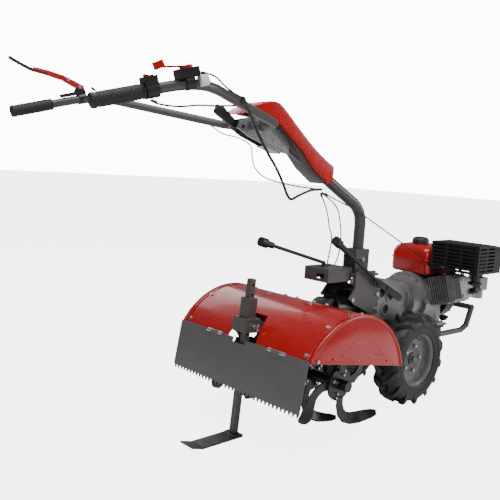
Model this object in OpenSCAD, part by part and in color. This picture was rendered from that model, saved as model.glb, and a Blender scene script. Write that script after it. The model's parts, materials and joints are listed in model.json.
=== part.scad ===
// Two-wheel walking tiller: a petrol engine and gearbox over a driven axle, a hooded
// rotor behind it, and a swivelling handlebar column.
// +X points forward, +Y to the operator's left, +Z up. Lengths are in millimetres.
// Drawn about the wheel axle, then moved so that the skid sole's centre is the origin.

/* [Wheels] */
// Radius of the tyre over its lugs
tyre_r = 181; // [170:1:190]
// Distance from the centre plane to the middle of a tyre
wheel_y = 148; // [144:1:170]
// Width of the wheel rim
rim_w = 90; // [80:1:96]
// Outer radius of the rim's flange
rim_r = 102; // [96:1:108]
// Depth of the hub plate inside the rim's outer edge
rim_dish = 31; // [20:1:40]
// Diameter of the axle shaft
axle_d = 25; // [22:1:30]

/* [Rotor and hood] */
// Width of the hood over its end plates
hood_w = 606; // [600:1:640]
// Outer radius of the hood's sheet
hood_r = 262; // [256:1:270]
// Thickness of the hood's sheet and of the flap
sheet_t = 3; // [2.5:0.5:4]
// Nose-down pitch of the rotor unit
till_pitch = 9.8; // [6:0.2:12]
// Height of the rotor shaft above the ground
rotor_z = 197; // [190:1:205]
// Distance of the rotor shaft behind the wheel axle
rotor_back = 530; // [520:1:560]
// Radius swept by the tines
tine_r = 168; // [150:1:172]
// Length of the rear flap, hinge to teeth
flap_len = 165; // [140:1:180]

/* [Depth bar] */
// Side of the square depth bar
bar_w = 21; // [18:1:24]
// Clear length of the bar above the socket
bar_rise = 62; // [40:1:80]
// Length of the flat part of the skid shoe
shoe_len = 150; // [110:1:170]
// Width of the skid shoe
shoe_w = 60; // [40:1:80]

/* [Handlebars] */
// Swing of the handlebar column to the left
handle_yaw = 10; // [0:1:20]
// Outside diameter of the steering column
column_d = 42; // [38:1:46]
// Outside diameter of the handlebar tubes
bar_d = 27; // [24:1:28]
// Half of the width between the grips
grip_y = 355; // [300:1:380]
// Outside diameter of the grips
grip_d = 38; // [34:1:42]
// Length of the grips
grip_len = 135; // [120:1:150]
// Length of the slanted part of the column
column_rise = 470; // [440:1:476]

/* [Engine] */
// Height of the crankshaft above the ground
crank_z = 378; // [370:1:384]
// Front-to-rear length of the fuel tank
tank_len = 205; // [180:1:215]
// Width of the fuel tank
tank_w = 196; // [170:1:200]
// Height of the fuel tank under its cap
tank_h = 118; // [100:1:124]
// Number of cooling fins on the cylinder
fin_count = 8; // [5:1:8]

/* [Hidden] */

$fn = 64;
gap = 0.3;            // between separate bodies
run = 0.05;           // radial running fit of shafts
steel = "#55524f";
grey = "#6b6b6b";
red = "#cf1420";
black = "#202124";
cast = "#b9bbbd";
zinc = "#c9cccf";

axle_z = tyre_r;
rotor_x = -rotor_back;
bar_tilt = 4.5;
bar_foot_x = rotor_x - 237;
sole_x = bar_foot_x - 1 - shoe_len / 2;
column_x = -182;
column_z0 = 596;
column_bend_z = 690;
column_bend_r = 90;
column_slope = 31;
clamp_x = -692;
clamp_z = 1010;
elbow_x = -1093;
elbow_y = grip_y + 17;
elbow_z = 1079;
grip_x = -1371;
grip_z = 1001;
knee_y = 140;

// ---------- shared helpers ----------
module machine() translate([-sole_x, 0, 0]) children();
module rotor_unit() machine() translate([rotor_x, 0, rotor_z]) rotate([0, till_pitch, 0])
    children();
module handle() machine() translate([column_x, 0, 0]) rotate([0, 0, -handle_yaw])
    translate([-column_x, 0, 0]) children();
module both() { children(); mirror([0, 1, 0]) children(); }
module side(s) { if (s > 0) children(); else mirror([0, 1, 0]) children(); }
// Cylinder along Y from y0 to y1
module along_y(d, y0, y1) translate([0, y1, 0]) rotate([90, 0, 0]) cylinder(h = y1 - y0, d = d);
// Cylinder along X from x0 to x1
module along_x(d, x0, x1) translate([x0, 0, 0]) rotate([0, 90, 0]) cylinder(h = x1 - x0, d = d);
// Box between two corners
module block(a, b) translate(a) cube(b - a);
// Outline in X and Z, spread along Y from y0 to y1
module slab(y0, y1) translate([0, y1, 0]) rotate([90, 0, 0]) linear_extrude(y1 - y0) children();
// Round rod from p to q
module rod(p, q, d) {
    v = q - p;
    translate(p) rotate([0, acos(v.z / norm(v)), atan2(v.y, v.x)]) cylinder(h = norm(v), d = d);
}
// Rods through a list of points, with a ball turned to each bend
module ball(p, u, v, d) {
    x = unit(v - (v * u) * u);
    y = cross(u, x);
    multmatrix([[x.x, y.x, u.x, p.x], [x.y, y.y, u.y, p.y], [x.z, y.z, u.z, p.z], [0, 0, 0, 1]])
        sphere(d = d);
}
module pipe(points, d) {
    for (i = [0:len(points) - 2]) rod(points[i], points[i + 1], d);
    for (i = [1:len(points) - 2]) ball(points[i], unit(points[i] - points[i - 1]),
        unit(points[i + 1] - points[i]), d + 1.2);
}
// Band between two discs, as a flat outline
module link(p, rp, q, rq) {
    u = (q - p) / norm(q - p);
    n = [-u.y, u.x];
    translate(p) circle(rp);
    translate(q) circle(rq);
    polygon([p + n * rp, q + n * rq, q - n * rq, p - n * rp]);
}
module hex_head(d, h) cylinder(h = h, d = d, $fn = 6);

// Smooth route through hand-chosen points, swept with a round section
function curve(a, b, c, d, t) = 0.5 * (2 * b + (c - a) * t + (2 * a - 5 * b + 4 * c - d) * t * t
    + (3 * b - a - 3 * c + d) * t * t * t);
function route(p, k) = let (n = len(p) - 1) concat([for (i = [0:n - 1]) for (j = [0:k - 1])
    curve(p[max(i - 1, 0)], p[i], p[i + 1], p[min(i + 2, n)], j / k)], [p[n]]);
function unit(v) = v / norm(v);
function heading(p, i) = unit(p[min(i + 1, len(p) - 1)] - p[max(i - 1, 0)]);
function across(u, t) = unit(u - (u * t) * t);
function frames(p, i, u) = i == len(p) ? []
    : let (v = across(u, heading(p, i))) concat([v], frames(p, i + 1, v));
module cord(points, d, k = 4, sides = 8) {
    p = route(points, k);
    u = frames(p, 0, unit(cross(heading(p, 0), [0.31, 0.87, 0.39])));
    rings = [for (i = [0:len(p) - 1]) let (t = heading(p, i), w = cross(t, u[i]))
        for (a = [0:sides - 1]) p[i] + d / 2 * (u[i] * cos(360 * a / sides)
            + w * sin(360 * a / sides))];
    last = (len(p) - 1) * sides;
    polyhedron(rings, concat(
        [[for (a = [0:sides - 1]) a]],
        [for (i = [0:len(p) - 2]) for (a = [0:sides - 1]) let (b = (a + 1) % sides)
            [i * sides + b, i * sides + a, (i + 1) * sides + a, (i + 1) * sides + b]],
        [[for (a = [sides - 1:-1:0]) last + a]]));
}

// ---------- wheels and axle ----------
wheel_in = wheel_y - rim_w / 2;
wheel_out = wheel_y + rim_w / 2;
bead_r = rim_r - 6;
tyre_bulge = 9;
lug_h = 13;
lug_count = 14;
hub_y = wheel_out - rim_dish;
hub_d = 44;
bolt_pcd = 100;

module wheel() translate([0, 0, axle_z]) rotate([-90, 0, 0]) children();
module tyre_section(grow) polygon([[bead_r + gap - grow, -rim_w / 2 + 5], [rim_r + 6, -rim_w / 2 + 4 + grow],
    [rim_r + 20, -rim_w / 2 - tyre_bulge + 2 + grow], [rim_r + 42, -rim_w / 2 - tyre_bulge + grow],
    [tyre_r - lug_h - grow, -rim_w / 2 - 1 + grow], [tyre_r - lug_h - grow, rim_w / 2 + 1 - grow],
    [rim_r + 42, rim_w / 2 + tyre_bulge - grow], [rim_r + 20, rim_w / 2 + tyre_bulge - 2 - grow],
    [rim_r + 6, rim_w / 2 - 4 - grow], [bead_r + gap - grow, rim_w / 2 - 5]]);
// Chevron lugs: two rows of slanted bars, cut to the round of the tread
module lugs() intersection() {
    rotate_extrude() polygon([[tyre_r - lug_h - 4, -rim_w / 2 - 2], [tyre_r, -rim_w / 2 + 8],
        [tyre_r, rim_w / 2 - 8], [tyre_r - lug_h - 4, rim_w / 2 + 2]]);
    for (i = [0:lug_count - 1]) for (s = [-1, 1]) rotate(360 * (i + 0.25 * s) / lug_count)
        translate([tyre_r - lug_h / 2, 0, s * (rim_w / 4 + 2)]) rotate([s * 38, 0, 0])
            cube([lug_h + 12, 15, rim_w * 0.82], center = true);
}
module tyre(s) color(black) machine() side(s) translate([0, wheel_y, 0]) wheel() {
    difference() {
        rotate_extrude() tyre_section(0);
        rotate_extrude() tyre_section(7);
    }
    lugs();
}
module rim(s) color(grey) machine() side(s) wheel() difference() {
    union() {
        rotate_extrude() polygon([[rim_r, wheel_in], [rim_r, wheel_in + 4], [bead_r, wheel_in + 4.5],
            [bead_r - 4, wheel_in + 20], [bead_r - 4, wheel_out - 20], [bead_r, wheel_out - 4.5],
            [rim_r, wheel_out - 4], [rim_r, wheel_out], [bead_r - 4, wheel_out],
            [bead_r - 8, wheel_out - 18], [bead_r - 8, wheel_in + 18], [bead_r - 4, wheel_in]]);
        translate([0, 0, hub_y - 4]) cylinder(h = 4, r = bead_r - 7);
    }
    translate([0, 0, hub_y - 10]) cylinder(h = 20, d = hub_d);
    for (i = [0:4]) rotate(72 * i) translate([bolt_pcd / 2, 0, hub_y - 10])
        cylinder(h = 20, r = 4.3);
}
module tyre_right() tyre(-1);
module tyre_left() tyre(1);
module rim_right() rim(-1);
module rim_left() rim(1);
module wheel_bolts() color(zinc) machine() both() wheel() for (i = [0:4]) rotate(72 * i)
    translate([bolt_pcd / 2, 0, hub_y]) {
        hex_head(14, 6);
        translate([0, 0, -11]) cylinder(h = 13, r = 4);
    }
module wheel_axle() color(grey) machine() {
    translate([0, 0, axle_z]) along_y(axle_d, -hub_y - 16, hub_y + 16);
    both() wheel() difference() {
        union() {
            translate([0, 0, 92]) cylinder(h = hub_y + 5 - 92, d = hub_d - 0.6);
            translate([0, 0, hub_y - 10]) cylinder(h = 6, d = bolt_pcd + 22);
        }
        for (i = [0:4]) rotate(72 * i) translate([bolt_pcd / 2, 0, hub_y - 14])
            cylinder(h = 16, r = 4.1);
    }
    // Final drive gear inside the axle case
    translate([0, 0, axle_z]) rotate([90, 0, 0]) linear_extrude(14, center = true) gear(36, 46);
}
// Spur gear outline with straight-sided teeth
module gear(teeth, tip_r) {
    root_r = tip_r - 5;
    circle(root_r);
    for (i = [0:teeth - 1]) rotate(360 * i / teeth)
        polygon([[root_r - 1, -2.6], [tip_r, -1.2], [tip_r, 1.2], [root_r - 1, 2.6]]);
}

// ---------- gearbox ----------
box_y = 60;
box_x0 = -143;
box_x1 = 80;
box_z0 = 318;
box_z1 = 476;
wall = 7;
port_pos = [[-94, 428], [-36, 413], [-62, 364]];
port_d = 36;
shaft_z = crank_z;
case_y = 86;

module axle_case() color("#3a3b3d") machine() difference() {
    union() {
        translate([0, 0, axle_z]) along_y(118, -32, 32);
        translate([0, 0, axle_z]) along_y(64, -case_y, case_y);
        slab(-32, 32) polygon([[-50, axle_z + 30], [-70, box_z0], [60, box_z0], [50, axle_z + 30]]);
    }
    translate([0, 0, axle_z]) along_y(axle_d + 0.1, -case_y - 1, case_y + 1);
    translate([0, 0, axle_z]) along_y(104, -20, 20);
    slab(-20, 20) polygon([[-36, axle_z], [-50, box_z0 + 1], [42, box_z0 + 1], [36, axle_z]]);
}
module gearbox_housing() color(cast) machine() difference() {
    union() {
        slab(-box_y, box_y) polygon([[box_x0, box_z0 + 22], [box_x0, box_z1 - 30],
            [box_x0 + 24, box_z1], [10, box_z1 - 10], [box_x1, box_z1 - 44],
            [box_x1, box_z0 + 24], [50, box_z0], [-70, box_z0]]);
        for (p = port_pos) translate([p.x, 0, p.y]) along_y(port_d + 14, -box_y - 5, 0);
        translate([0, 0, shaft_z]) along_x(110, box_x0 - 8, box_x0 + 10);
    }
    slab(-box_y + wall, box_y - wall) polygon([[box_x0 + wall, box_z0 + 26],
        [box_x0 + wall, box_z1 - 34], [box_x0 + 28, box_z1 - wall], [8, box_z1 - 17],
        [box_x1 - wall, box_z1 - 50], [box_x1 - wall, box_z0 + 28], [46, box_z0 + wall],
        [-66, box_z0 + wall]]);
    for (p = port_pos) translate([p.x, 0, p.y]) along_y(port_d, -box_y - 6, -box_y + 3);
    translate([0, 0, shaft_z]) along_x(26.1, box_x0 - 20, box_x1 + 20);
    block([-40, -18, box_z0 - 1], [36, 18, box_z0 + 12]);
}
bell_x0 = 80;
bell_x1 = 172;
bell_r = 92;
bell_bolt_r = bell_r + 9;
module bell_housing() color(cast) machine() translate([0, 0, shaft_z]) difference() {
    union() {
        along_x(2 * bell_r, bell_x0 + 12, bell_x1 - 10);
        along_x(2 * bell_r - 36, bell_x0, bell_x0 + 20);
        along_x(2 * bell_r + 34, bell_x1 - 14, bell_x1);
    }
    along_x(2 * bell_r - 14, bell_x0 + 20, bell_x1 + 1);
    along_x(26.1, bell_x0 - 1, bell_x0 + 30);
    for (i = [0:5]) rotate([60 * i + 30, 0, 0]) translate([0, 0, bell_bolt_r])
        along_x(9, bell_x1 - 15, bell_x1 + 1);
}
// Driven clutch drum, shaft and the worm that turns the axle gear
module input_shaft() color(zinc) machine() translate([0, 0, shaft_z]) {
    along_x(26, box_x0 - 4, bell_x0 + 28);
    along_x(34, -60, 40);
    difference() {
        along_x(136, bell_x0 + 28, bell_x1 - 22);
        along_x(124, bell_x0 + 34, bell_x1);
    }
}
plate_x = [-268, -148];
module side_plates() color(steel) machine() for (s = [-1, 1]) side(-s)
    slab(-box_y - 7, -box_y - 1) difference() {
        polygon([[-300, 424], [-262, 398], [-148, 352], [-120, 352], [-120, 440], [-150, 452],
            [-150, 520], [-268, 520], [-268, 460]]);
        for (p = [[-284, 420], [-134, 372], [-134, 430]]) translate(p) circle(4.2);
    }
module chassis_bolts() color(zinc) machine() {
    for (s = [-1, 1]) side(-s) for (p = [[-284, 420], [-134, 372], [-134, 430]])
        translate([p.x, -box_y - 7, p.y]) rotate([90, 0, 0]) hex_head(17, 8);
    for (i = [0:5]) translate([bell_x1 - 14, 0, shaft_z]) rotate([60 * i + 30, 0, 0])
        translate([-gap, 0, bell_bolt_r]) rotate([0, -90, 0]) hex_head(14, 8);
    // Hood and rotor bolts
    rotor_at() both() translate([hood_x, hood_w / 2 - 24, hood_dz]) for (a = [-14, 15])
        rotate([0, a, 0]) translate([0, 0, hood_r + 0.1]) hex_head(14, 6);
    rotor_at() both() translate([-222, hood_w / 2, 88]) rotate([-90, 0, 0]) hex_head(13, 7);
    translate([column_x - 10, -29, 560]) rotate([90, 0, 0]) hex_head(17, 9);
}
module rotor_at() translate([rotor_x, 0, rotor_z]) rotate([0, till_pitch, 0]) children();

// ---------- steering column base and shift gate ----------
base_half = 29;
base_z0 = 505;
base_z1 = 596;
module column_base() color(steel) machine() difference() {
    union() {
        block([column_x - 46, -base_half, base_z0], [column_x + 34, base_half, base_z1]);
        block([-268, -box_y - 1, base_z0 - 6], [-120, box_y + 1, base_z0 + 2]);
        for (s = [-1, 1]) side(s) block([-262, box_y - 7, 452], [-156, box_y - 1, base_z0]);
    }
    block([column_x - 50, -base_half + 5, base_z0 + 6], [column_x - 26, base_half - 5, base_z1 - 22]);
    translate([column_x, 0, base_z0 + 12]) cylinder(h = 100, d = 30 + 2 * run);
}
module shift_gate() color(steel) machine() difference() {
    block([-402, -48, 486], [-269, 64, 534]);
    block([-398, -44, 480], [-273, 60, 530]);
    block([-384, 20, 470], [-300, 34, 540]);
    block([-410, -30, 498], [-390, 8, 516]);
}

// ---------- drive to the rotor, and its case ----------
module drive_coupling() color("#2c2d2f") machine() {
    translate([0, 0, shaft_z]) {
        along_x(96, -196, -151 - gap);
        along_x(74, -262, -196);
        along_x(104, -300, -262);
    }
    block([-246, -52, shaft_z + 8], [-204, 52, shaft_z + 48]);
    rod([-300, 0, shaft_z + 62], [-190, 0, shaft_z + 56], 18);
    block([-290, -12, shaft_z + 20], [-270, 12, shaft_z + 66]);
}
rotor_case_y = 30;
module rotor_case() color("#2c2d2f") machine() difference() {
    union() {
        translate([0, 0, shaft_z]) along_x(104, -330, -300);
        slab(-rotor_case_y, rotor_case_y) link([-353, shaft_z - 8], 52, [rotor_x, rotor_z], 62);
    }
    slab(-rotor_case_y + 8, rotor_case_y - 8)
        link([-356, shaft_z - 12], 40, [rotor_x, rotor_z], 52);
    translate([rotor_x, 0, rotor_z]) along_y(36 + 2 * run, -40, 40);
}

// ---------- hood ----------
hood_x = -7;
hood_dz = -24;
chord_z = 80;
hood_a0 = asin((chord_z - hood_dz) / hood_r);
end_t = 3;
// Segment of the hood's circle above its lower chord, in X and Z
module hood_segment(r) intersection() {
    translate([hood_x, hood_dz]) circle(r, $fn = 128);
    translate([-400, chord_z]) square([800, 400]);
}
module hood_shell() color(red) rotor_unit() difference() {
    slab(-hood_w / 2 + end_t, hood_w / 2 - end_t) difference() {
        hood_segment(hood_r);
        translate([hood_x, hood_dz]) circle(hood_r - sheet_t, $fn = 128);
    }
    // Front opening for the drive case
    block([66, -66, 40], [300, 66, 260]);
    // Notch for the depth bar's socket
    translate([-290, 0, 0]) rotate([90, 0, 90]) linear_extrude(140)
        polygon([[-64, 60], [64, 60], [64, 96], [38, 172], [-38, 172], [-64, 96]]);
}
module hood_end(s) color(red) rotor_unit() side(s) difference() {
    union() {
        slab(hood_w / 2 - end_t, hood_w / 2) hood_segment(hood_r);
        slab(hood_w / 2 - 11, hood_w / 2 + 4) difference() {
            hood_segment(hood_r + 4);
            translate([hood_x, hood_dz]) circle(hood_r + gap, $fn = 128);
        }
    }
    for (x = [-150, -7, 136]) translate([x, 0, chord_z + 16]) along_y(8, 250, 320);
}
module hood_end_right() hood_end(-1);
module hood_end_left() hood_end(1);

// ---------- rear flap ----------
hinge_x = hood_x - hood_r * cos(hood_a0) - 7;
hinge_z = chord_z + 3;
hinge_at = [-168, 118];
flap_w = hood_w - 4;
pin_d = 6;
tooth_count = 36;
module hinge_brackets() color(zinc) rotor_unit() for (y = hinge_at) {
    for (k = [-1, 1]) translate([hinge_x, y, hinge_z]) along_y(13, min(k * 18, k * 34), max(k * 18, k * 34));
    for (k = [-1, 1]) block([hinge_x, y + k * 26 - 8, hinge_z - 2],
        [hinge_x + 7.5, y + k * 26 + 8, hinge_z + 5]);
    translate([hinge_x, y, hinge_z]) along_y(pin_d, -40, 40);
}
module rear_flap() color(grey) rotor_unit() {
    difference() {
        union() {
            block([hinge_x - sheet_t / 2, -flap_w / 2, hinge_z - flap_len + 9],
                [hinge_x + sheet_t / 2, flap_w / 2, hinge_z + 2]);
            for (i = [0:tooth_count - 1]) translate([hinge_x, (i - (tooth_count - 1) / 2) * flap_w
                / tooth_count, hinge_z - flap_len + 10]) rotate([0, 90, 0])
                linear_extrude(sheet_t, center = true) polygon([[0, -7], [10, 0], [0, 7]]);
        }
        block([hinge_x - 5, -26, hinge_z - 16], [hinge_x + 5, 26, hinge_z + 5]);
        for (y = hinge_at) block([hinge_x - 9, y - 41, hinge_z - 8], [hinge_x + 9, y + 41, hinge_z + 5]);
    }
    for (y = hinge_at) translate([hinge_x, y, hinge_z]) difference() {
        union() {
            along_y(13, -17.5, 17.5);
            block([-sheet_t / 2, -17.5, -12], [sheet_t / 2, 17.5, -4]);
        }
        along_y(pin_d + 2 * run, -20, 20);
    }
}

// ---------- depth bar ----------
socket_z0 = 348;
socket_z1 = 458;
foot_z = 10;
module bar_frame() machine() translate([bar_foot_x, 0, foot_z]) rotate([0, bar_tilt, 0]) children();
bar_len = socket_z1 - foot_z + bar_rise;
hole_pitch = 32;
module depth_bar() color(steel) bar_frame() difference() {
    block([-bar_w / 2, -bar_w / 2, 0], [bar_w / 2, bar_w / 2, bar_len]);
    for (i = [0:6]) translate([0, 0, bar_len - 20 - i * hole_pitch]) along_y(9, -20, 20);
}
tip_len = 44;
tip_rise = 12;
shoe_t = 7;
module skid_shoe() color("#3f4043") machine() slab(-shoe_w / 2, shoe_w / 2) {
    x0 = sole_x - shoe_len / 2;
    x1 = bar_foot_x + 16;
    polygon([[x0 - tip_len, tip_rise], [x0, 0], [x1, 0], [x1, foot_z - 1],
        [x1 - 30, foot_z - 1], [x1 - 34, shoe_t], [x0 - 1, shoe_t], [x0 - tip_len - 2, tip_rise + shoe_t]]);
}
module depth_socket() color(steel) {
    bar_frame() difference() {
        union() {
            block([-32, -32, socket_z0 - foot_z], [32, 32, socket_z0 - foot_z + 45]);
            block([-19, -19, socket_z0 - foot_z + 45], [19, 19, socket_z1 - foot_z]);
        }
        block([-bar_w / 2 - gap, -bar_w / 2 - gap, 200], [bar_w / 2 + gap, bar_w / 2 + gap, 600]);
        translate([0, 0, screw_z]) along_y(10 + 2 * run, -40, 0);
    }
    // Arm from the socket to the rotor case, through the hood's notch
    machine() slab(-14, 14) polygon([[-712, 350], [-712, 384], [-640, 366], [-560, 304],
        [-552, 268], [-592, 268], [-662, 330]]);
}
// Clamping screw with a tee bar, in the collar's right side
screw_z = socket_z0 - foot_z + 22;
module depth_screw() color(zinc) bar_frame() translate([0, 0, screw_z]) {
    along_y(10, -58, -bar_w / 2 - gap);
    along_y(16, -40, -32 - gap);
    translate([0, -54, -12]) cylinder(h = 24, d = 7);
}

// ---------- rotor ----------
flange_y = [-232, -112, 112, 232];
tines_per_flange = 4;
module rotor() machine() translate([rotor_x, 0, rotor_z]) children();
module rotor_shaft() color("#2c2d2f") rotor() difference() {
    union() {
        along_y(36, -272, 272);
        for (y = flange_y) translate([0, y, 0]) along_y(110, -4, 4);
    }
    for (y = flange_y) for (i = [0:tines_per_flange - 1]) for (r = [34, 48])
        rotate([0, tine_phase(y) + i * 360 / tines_per_flange, 0]) translate([r - 2, y, 0]) along_y(9, -6, 6);
}
function tine_phase(y) = y * 0.29;
module tines() color("#26272a") rotor() for (y = flange_y) for (i = [0:tines_per_flange - 1]) {
    out = i % 2 == 0 ? 1 : -1;
    rotate([0, tine_phase(y) + i * 360 / tines_per_flange, 0]) translate([0, y + out * 7, 0])
        difference() {
            union() {
                block([26, -3, -15], [118, 3, 15]);
                rotate([0, -9, 0]) block([98, -3, 0], [tine_r - 9, 3, 34]);
                rotate([0, -9, 0]) block([tine_r - 15, min(-3, out * 56), 1], [tine_r - 8, max(3, out * 56), 33]);
            }
            for (r = [34, 48]) translate([r - 2, 0, 0]) along_y(9, -6, 6);
        }
}
module tine_bolts() color(zinc) rotor() for (y = flange_y) for (i = [0:tines_per_flange - 1]) {
    out = i % 2 == 0 ? 1 : -1;
    rotate([0, tine_phase(y) + i * 360 / tines_per_flange, 0]) for (r = [34, 48])
        translate([r - 2, y + out * 10, 0]) rotate([-90 * out, 0, 0]) {
            hex_head(13, 6);
            translate([0, 0, -21]) cylinder(h = 22, d = 8.4);
        }
}

// ---------- engine ----------
base_top = 262;
block_x0 = 176;
block_x1 = 322;
cyl_tilt = 17;
module engine_base() color("#2c2d2f") machine() {
    block([104, -86, base_top - 8], [372, 86, base_top]);
    for (y = [-74, 62]) block([104, y, base_top - 21], [372, y + 12, base_top - 7]);
    block([104, -40, base_top - 1], [bell_x1 - 22, 40, crank_z - bell_r - gap - 1]);
}
bumper_x = 458;
module front_bumper() color(steel) machine() {
    pipe([for (p = [[250, 110, 230], [bumper_x - 20, 118, 230], [bumper_x, 130, 252],
        [bumper_x + 2, 146, 334]]) p, [bumper_x + 2, -146, 334], [bumper_x, -130, 252],
        [bumper_x - 20, -118, 230], [250, -110, 230]], 24);
    rod([300, -104, 230], [300, 104, 230], 20);
    difference() {
        block([bumper_x - 6, -50, 296], [bumper_x + 2, 50, 334]);
        for (y = [-30, 30]) translate([0, y, 312]) along_x(11, bumper_x - 10, bumper_x + 10);
    }
    for (s = [-1, 1]) side(s) block([262, 76, 234], [300, 104, base_top - 8.1]);
}
module crankcase() color(cast) machine() difference() {
    union() {
        block([block_x0, -78, base_top + gap], [block_x1, 86, crank_z + 62]);
        translate([0, 0, crank_z]) along_x(2 * bell_r + 34, bell_x1 + gap, block_x0 + 12);
        tilted() block([cyl_x - 56, cyl_y0 + gap, -54], [cyl_x + 56, -40, 54]);
        translate([0, 0, crank_z]) along_x(150, block_x0, block_x1 + 10);
        block([block_x0 - 2, -98, base_top + gap], [block_x1 + 2, 98, base_top + 14]);
    }
    block([block_x0 + 12, -68, base_top + 16], [block_x1 - 10, 74, crank_z + 52]);
    tilted() translate([cyl_x, 0, 0]) along_y(72, cyl_y0 - 1, -40);
    translate([0, 0, crank_z]) along_x(28, bell_x1 - 2, block_x0 + 40);
    translate([0, 0, crank_z]) along_x(28, block_x1 - 20, block_x1 + 20);
}
module crankshaft() color(zinc) machine() translate([0, 0, crank_z]) {
    along_x(27.9, bell_x1 - 30, block_x1 + 86);
    difference() {
        along_x(116, bell_x1 - 36, bell_x1 - 18);
        along_x(96, bell_x1 - 37, bell_x1 - 26);
    }
    along_x(76, bell_x1 + 40, bell_x1 + 56);
    along_x(76, bell_x1 + 92, bell_x1 + 108);
}
fan_x0 = block_x1 + 12;
fan_x1 = 438;
fan_d = 206;
module flywheel() color("#3a3b3d") machine() translate([0, 0, crank_z]) difference() {
    union() {
        along_x(170, fan_x0 + 12, fan_x0 + 30);
        for (i = [0:11]) rotate([30 * i, 0, 0]) block([fan_x0 + 28, 34, -2], [fan_x0 + 48, 82, 2]);
    }
    along_x(28, 200, 500);
}
module fan_housing() color(black) machine() difference() {
    union() {
        translate([0, 0, crank_z]) along_x(fan_d, fan_x0, fan_x1 - 40);
        block([fan_x0, -150, crank_z - 10], [fan_x0 + 62, 0, crank_z + 96]);
        translate([0, 0, crank_z]) along_x(150, fan_x1 - 40, fan_x1);
    }
    translate([0, 0, crank_z]) along_x(fan_d - 12, fan_x0 - 1, fan_x0 + 58);
    block([fan_x0 - 1, -144, crank_z - 4], [fan_x0 + 56, 0, crank_z + 90]);
    for (i = [0:11]) translate([0, 0, crank_z]) rotate([30 * i, 0, 0])
        block([fan_x1 - 30, 40, -6], [fan_x1 + 5, 68, 6]);
    translate([0, 0, crank_z]) along_x(30, fan_x0, fan_x1 - 20);
}
module tilted() translate([0, 0, crank_z + 8]) rotate([-cyl_tilt, 0, 0]) children();
module cylinder_frame() machine() tilted() children();
cyl_x = 250;
cyl_y0 = -98;
fin_pitch = 10;
module cylinder_block() color(cast) cylinder_frame() difference() {
    union() {
        translate([cyl_x, 0, 0]) along_y(98, -192, cyl_y0);
        for (i = [0:fin_count - 1]) block([cyl_x - 62, cyl_y0 - 10 - i * fin_pitch, -58],
            [cyl_x + 62, cyl_y0 - 7 - i * fin_pitch, 58]);
        block([cyl_x - 58, -202, -54], [cyl_x + 58, -182, 54]);
    }
    translate([cyl_x, 0, 0]) along_y(70, -168, cyl_y0 + 1);
}
module valve_cover() color(zinc) cylinder_frame() {
    block([cyl_x - 50, -238, -44], [cyl_x + 50, -202 - gap, 40]);
    block([cyl_x - 56, -208, -50], [cyl_x + 56, -202 - gap, 46]);
    for (x = [-38, 38]) for (z = [-34, 30]) translate([cyl_x + x, -238, z]) rotate([90, 0, 0])
        hex_head(12, 5);
}
tank_x0 = 162;
tank_z = 483;
seam_z = 541;
tank_y = -2;
module tank_outline(x0, x1, z0, z1) polygon([[x0 + 26, z0], [x1 - 24, z0], [x1, z0 + 24],
    [x1, z1], [x0, z1], [x0, z0 + 26]]);
module tank_solid(e) {
    x1 = tank_x0 + tank_len;
    slab(tank_y - tank_w / 2 + e, tank_y + tank_w / 2 - e) polygon([[tank_x0 + 30 + e, tank_z + e],
        [x1 - 20 - e, tank_z + e], [x1 - e, tank_z + 22 + e], [x1 - e, seam_z + 18],
        [x1 - 22 - e, tank_z + tank_h - e], [tank_x0 + 34 + e, tank_z + tank_h - e],
        [tank_x0 + e, seam_z + 10], [tank_x0 + e, tank_z + 26 + e]]);
}
neck = [245, 0, tank_z + tank_h];
module fuel_tank() color(red) machine() difference() {
    union() {
        tank_solid(0);
        block([tank_x0 - 7, tank_y - tank_w / 2 - 7, seam_z - 2],
            [tank_x0 + tank_len + 7, tank_y + tank_w / 2 + 7, seam_z + 2]);
        translate(neck - [0, 0, 8]) cylinder(h = 16, d = 48);
    }
    tank_solid(3);
    translate(neck - [0, 0, 20]) cylinder(h = 40, d = 40);
}
module fuel_cap() color(black) machine() translate(neck) {
    difference() {
        translate([0, 0, 1]) cylinder(h = 26, d = 66);
        translate([0, 0, 0]) cylinder(h = 12, d = 52);
    }
    for (i = [0:17]) rotate(20 * i) translate([32, 0, 2]) cylinder(h = 24, d = 5);
}
guard_y = [-318, -108];
guard_z = [520, 630];
muffler_x = [146, 280];
module muffler() color("#3a3b3d") machine() {
    block([muffler_x[0] + 14, -300, 536], [muffler_x[1] - 8, -136, 606]);
    translate([muffler_x[0] + 50, -286, 480]) cylinder(h = 60, d = 30);
    translate([muffler_x[0] + 50, -286, 478]) cylinder(h = 8, d = 52);
    tilted() block([cyl_x - 50, -200, 54.2], [cyl_x, -184, 98]);
}
// Louvred cage around the muffler
module muffler_guard() color(black) machine() difference() {
    block([muffler_x[0], guard_y[0], guard_z[0]], [muffler_x[1], guard_y[1] - 6, guard_z[1]]);
    block([muffler_x[0] + 4, guard_y[0] + 4, guard_z[0] - 5], [muffler_x[1] - 2, guard_y[1] - 10, guard_z[1] - 4]);
    for (i = [0:6]) for (k = [0, 1]) block([muffler_x[0] + 8 + k * 64, guard_y[0] - 2, guard_z[0] + 10 + i * 14],
        [muffler_x[0] + 62 + k * 64, guard_y[0] + 8, guard_z[0] + 17 + i * 14]);
    for (i = [0:6]) for (k = [0:2]) block([muffler_x[0] - 2, guard_y[0] + 14 + k * 64, guard_z[0] + 10 + i * 14],
        [muffler_x[0] + 8, guard_y[0] + 66 + k * 64, guard_z[0] + 17 + i * 14]);
    for (i = [0:5]) for (k = [0, 1]) block([muffler_x[0] + 8 + k * 64, guard_y[0] + 14 + i * 30, guard_z[1] - 8],
        [muffler_x[0] + 62 + k * 64, guard_y[0] + 30 + i * 30, guard_z[1] + 2]);
}
filter_x = [284, 388];
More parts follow.
